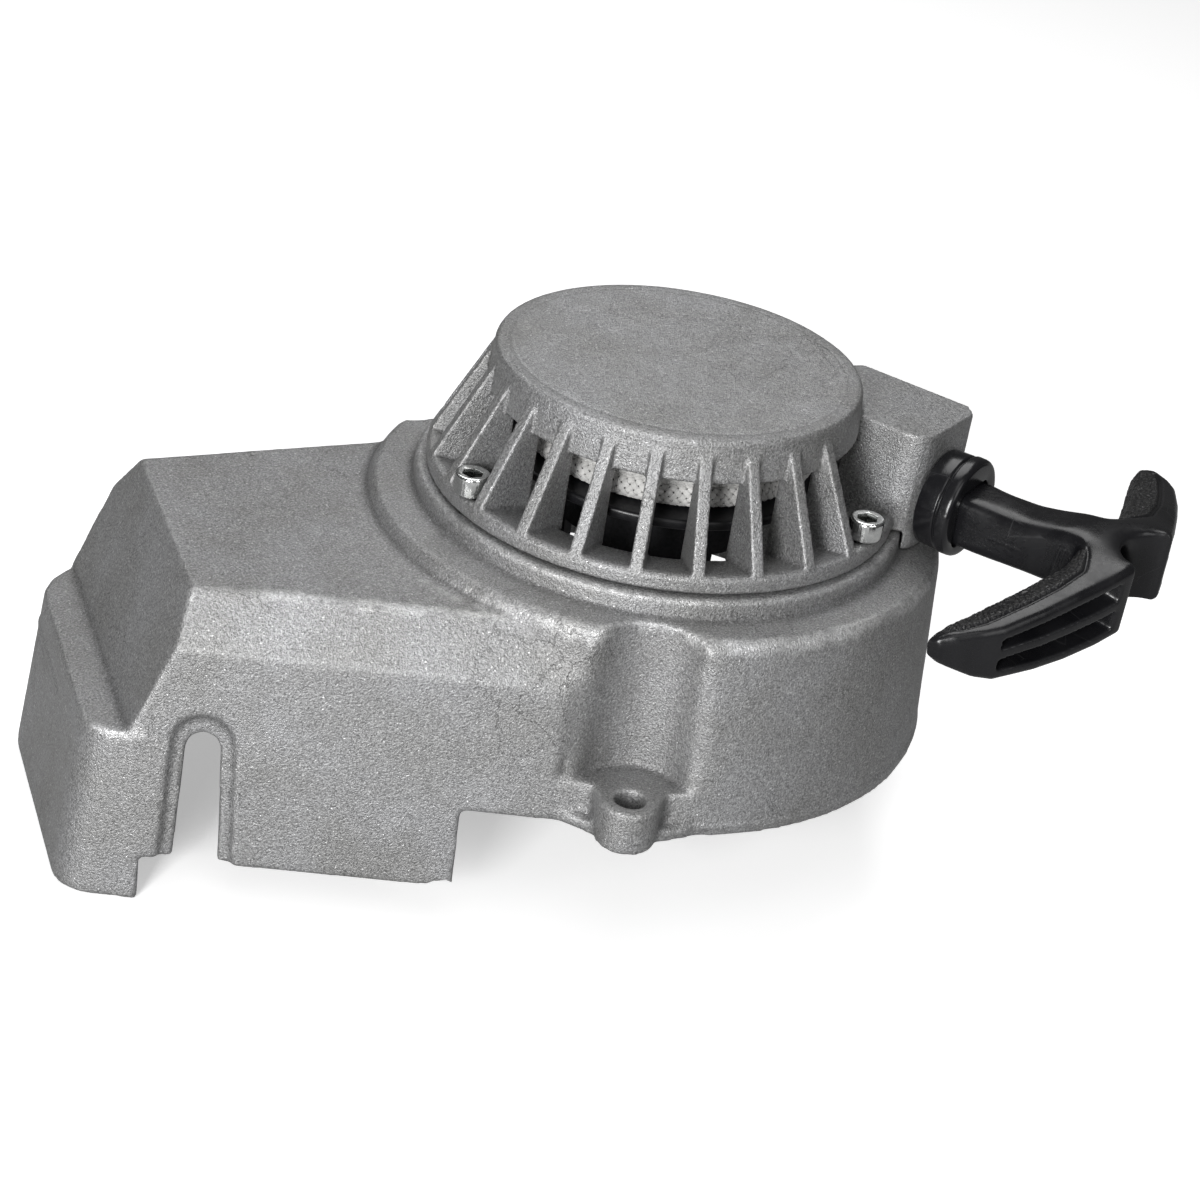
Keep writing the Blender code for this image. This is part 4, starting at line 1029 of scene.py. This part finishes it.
def build_handle():
    mesh, mesher = remeshed("handle_moulding", [node_mesh("handle_grip")], 0.3, 5)
    points, normals, _ = arrays(mesh)
    s, q, z = to_handle(points)
    neck = np.clip((s - 57.0) / 5.0, 0, 1) * np.clip((92.0 - s) / 6.0, 0, 1) * np.clip((17.0 - np.abs(q)) / 5.0, 0, 1) * np.clip((z - 47.0) / 3.0, 0, 1)
    points = relaxed(mesher, points, neck, 110)
    put_points(mesh, points)
    points, normals, _ = arrays(mesh)
    s, q, z = to_handle(points)
    reach = np.abs(q)
    inner = np.interp(reach, HALF[:, 0], HALF[:, 2])
    high = np.interp(reach, HALF[:, 0], HALF[:, 5])
    low = np.interp(reach, HALF[:, 0], HALF[:, 4])
    # Pads on the inner side of both arms: a groove round each, and a grained skin inside it.
    step = lambda v, a, b: np.clip((v - a) / (b - a), 0, 1) ** 2 * (3 - 2 * np.clip((v - a) / (b - a), 0, 1))
    pad = step(inner - s, 0.25, 0.9) * step(reach, 7.6, 8.6) * step(42.3 - reach, 0.0, 0.8) * step(z - low, 1.0, 2.0)
    points = points + normals * (pad * 0.22)[:, None]
    for sign in (-1.0, 1.0):
        path = [from_handle(76.2, sign * 6.6, 56.0), from_handle(79.0, sign * 7.0, 57.6)]
        for across in np.linspace(7.8, 41.6, 30):
            i = np.interp(across, HALF[:, 0], HALF[:, 2])
            h = np.interp(across, HALF[:, 0], HALF[:, 5])
            path.append(from_handle(i - 0.05, sign * across, h - 0.1))
        path += [from_handle(74.9, sign * 42.9, 50.2), from_handle(73.0, sign * 43.2, 47.6), from_handle(72.4, sign * 42.6, 45.0), from_handle(73.0, sign * 41.2, 43.0)]
        points, _ = groove(points, normals, path, 0.55, 0.5)
    # Parting line round the stem and the arms, and a small moulded mark on the near side.
    s, q, z = to_handle(points)
    parting = np.clip(1 - (np.abs(z - 49.9) / 0.28) ** 2, 0, 1) * step(70.0 - s, 0, 1)
    points = points + normals * (parting * 0.07)[:, None]
    for sign in (-1.0, 1.0):
        mark = [from_handle(76.6, sign * 6.2, 47.8), from_handle(77.5, sign * 6.3, 54.3), from_handle(78.4, sign * 6.4, 54.3), from_handle(78.0, sign * 6.4, 50.5)]
        points, _ = groove(points, normals, mark, 0.4, -0.22)
    points = points + normals * (0.025 * lattice_noise(points, 5.0, 31))[:, None]
    # The grain of the pads is in the surface too.
    picked = np.nonzero(pad > 0.05)[0]
    grain = np.zeros(len(points))
    for i in picked:
        place = Vector((s[i] * 0.9, q[i] * 0.9, z[i] * 0.62))
        near = noise.voronoi(place)[0]
        grain[i] = min((near[1] - near[0]) * 2.2, 1.0)
    points = points + normals * ((grain - 0.5) * pad * 0.16)[:, None]
    put_points(mesh, points)
    store_edges(mesh, mesher, 1.0, blur=1)
    layer = mesh.attributes.new("pad", "FLOAT", "POINT")
    layer.data.foreach_set("value", pad.astype(np.float32))
    return new_piece("handle_moulding", mesh, grip_black, "handle", ["handle_grip"])


build_handle()

# --- floor -------------------------------------------------------------------------------------------------------
lowest = cad_box[0][2]
bm = bmesh.new()
bmesh.ops.create_circle(bm, cap_ends=True, segments=96, radius=4.0)
floor_mesh = bpy.data.meshes.new("floor")
bm.to_mesh(floor_mesh)
bm.free()
floor = bpy.data.objects.new("floor", floor_mesh)
floor.location = (0.0, 0.0, lowest - 0.0001)
scene.collection.objects.link(floor)
paint = bpy.data.materials.new("studio_floor")
paint.use_nodes = True
tree = paint.node_tree
shader = tree.nodes["Principled BSDF"]
shader.inputs["Base Color"].default_value = (0.95, 0.95, 0.95, 1.0)
shader.inputs["Roughness"].default_value = 1.0
shader.inputs["Specular IOR Level"].default_value = 0.0
shader.inputs["Emission Color"].default_value = (1.0, 1.0, 1.0, 1.0)
shader.inputs["Emission Strength"].default_value = 0.42
# The floor is pale to look at, and throws back less light than it shows.
bounce = tree.nodes.new("ShaderNodeBsdfDiffuse")
bounce.inputs["Color"].default_value = (0.38, 0.38, 0.38, 1.0)
seen = tree.nodes.new("ShaderNodeLightPath")
both = tree.nodes.new("ShaderNodeMixShader")
tree.links.new(seen.outputs["Is Camera Ray"], both.inputs[0])
tree.links.new(bounce.outputs[0], both.inputs[1])
tree.links.new(shader.outputs[0], both.inputs[2])
tree.links.new(both.outputs[0], tree.nodes["Material Output"].inputs["Surface"])
floor_mesh.materials.append(paint)
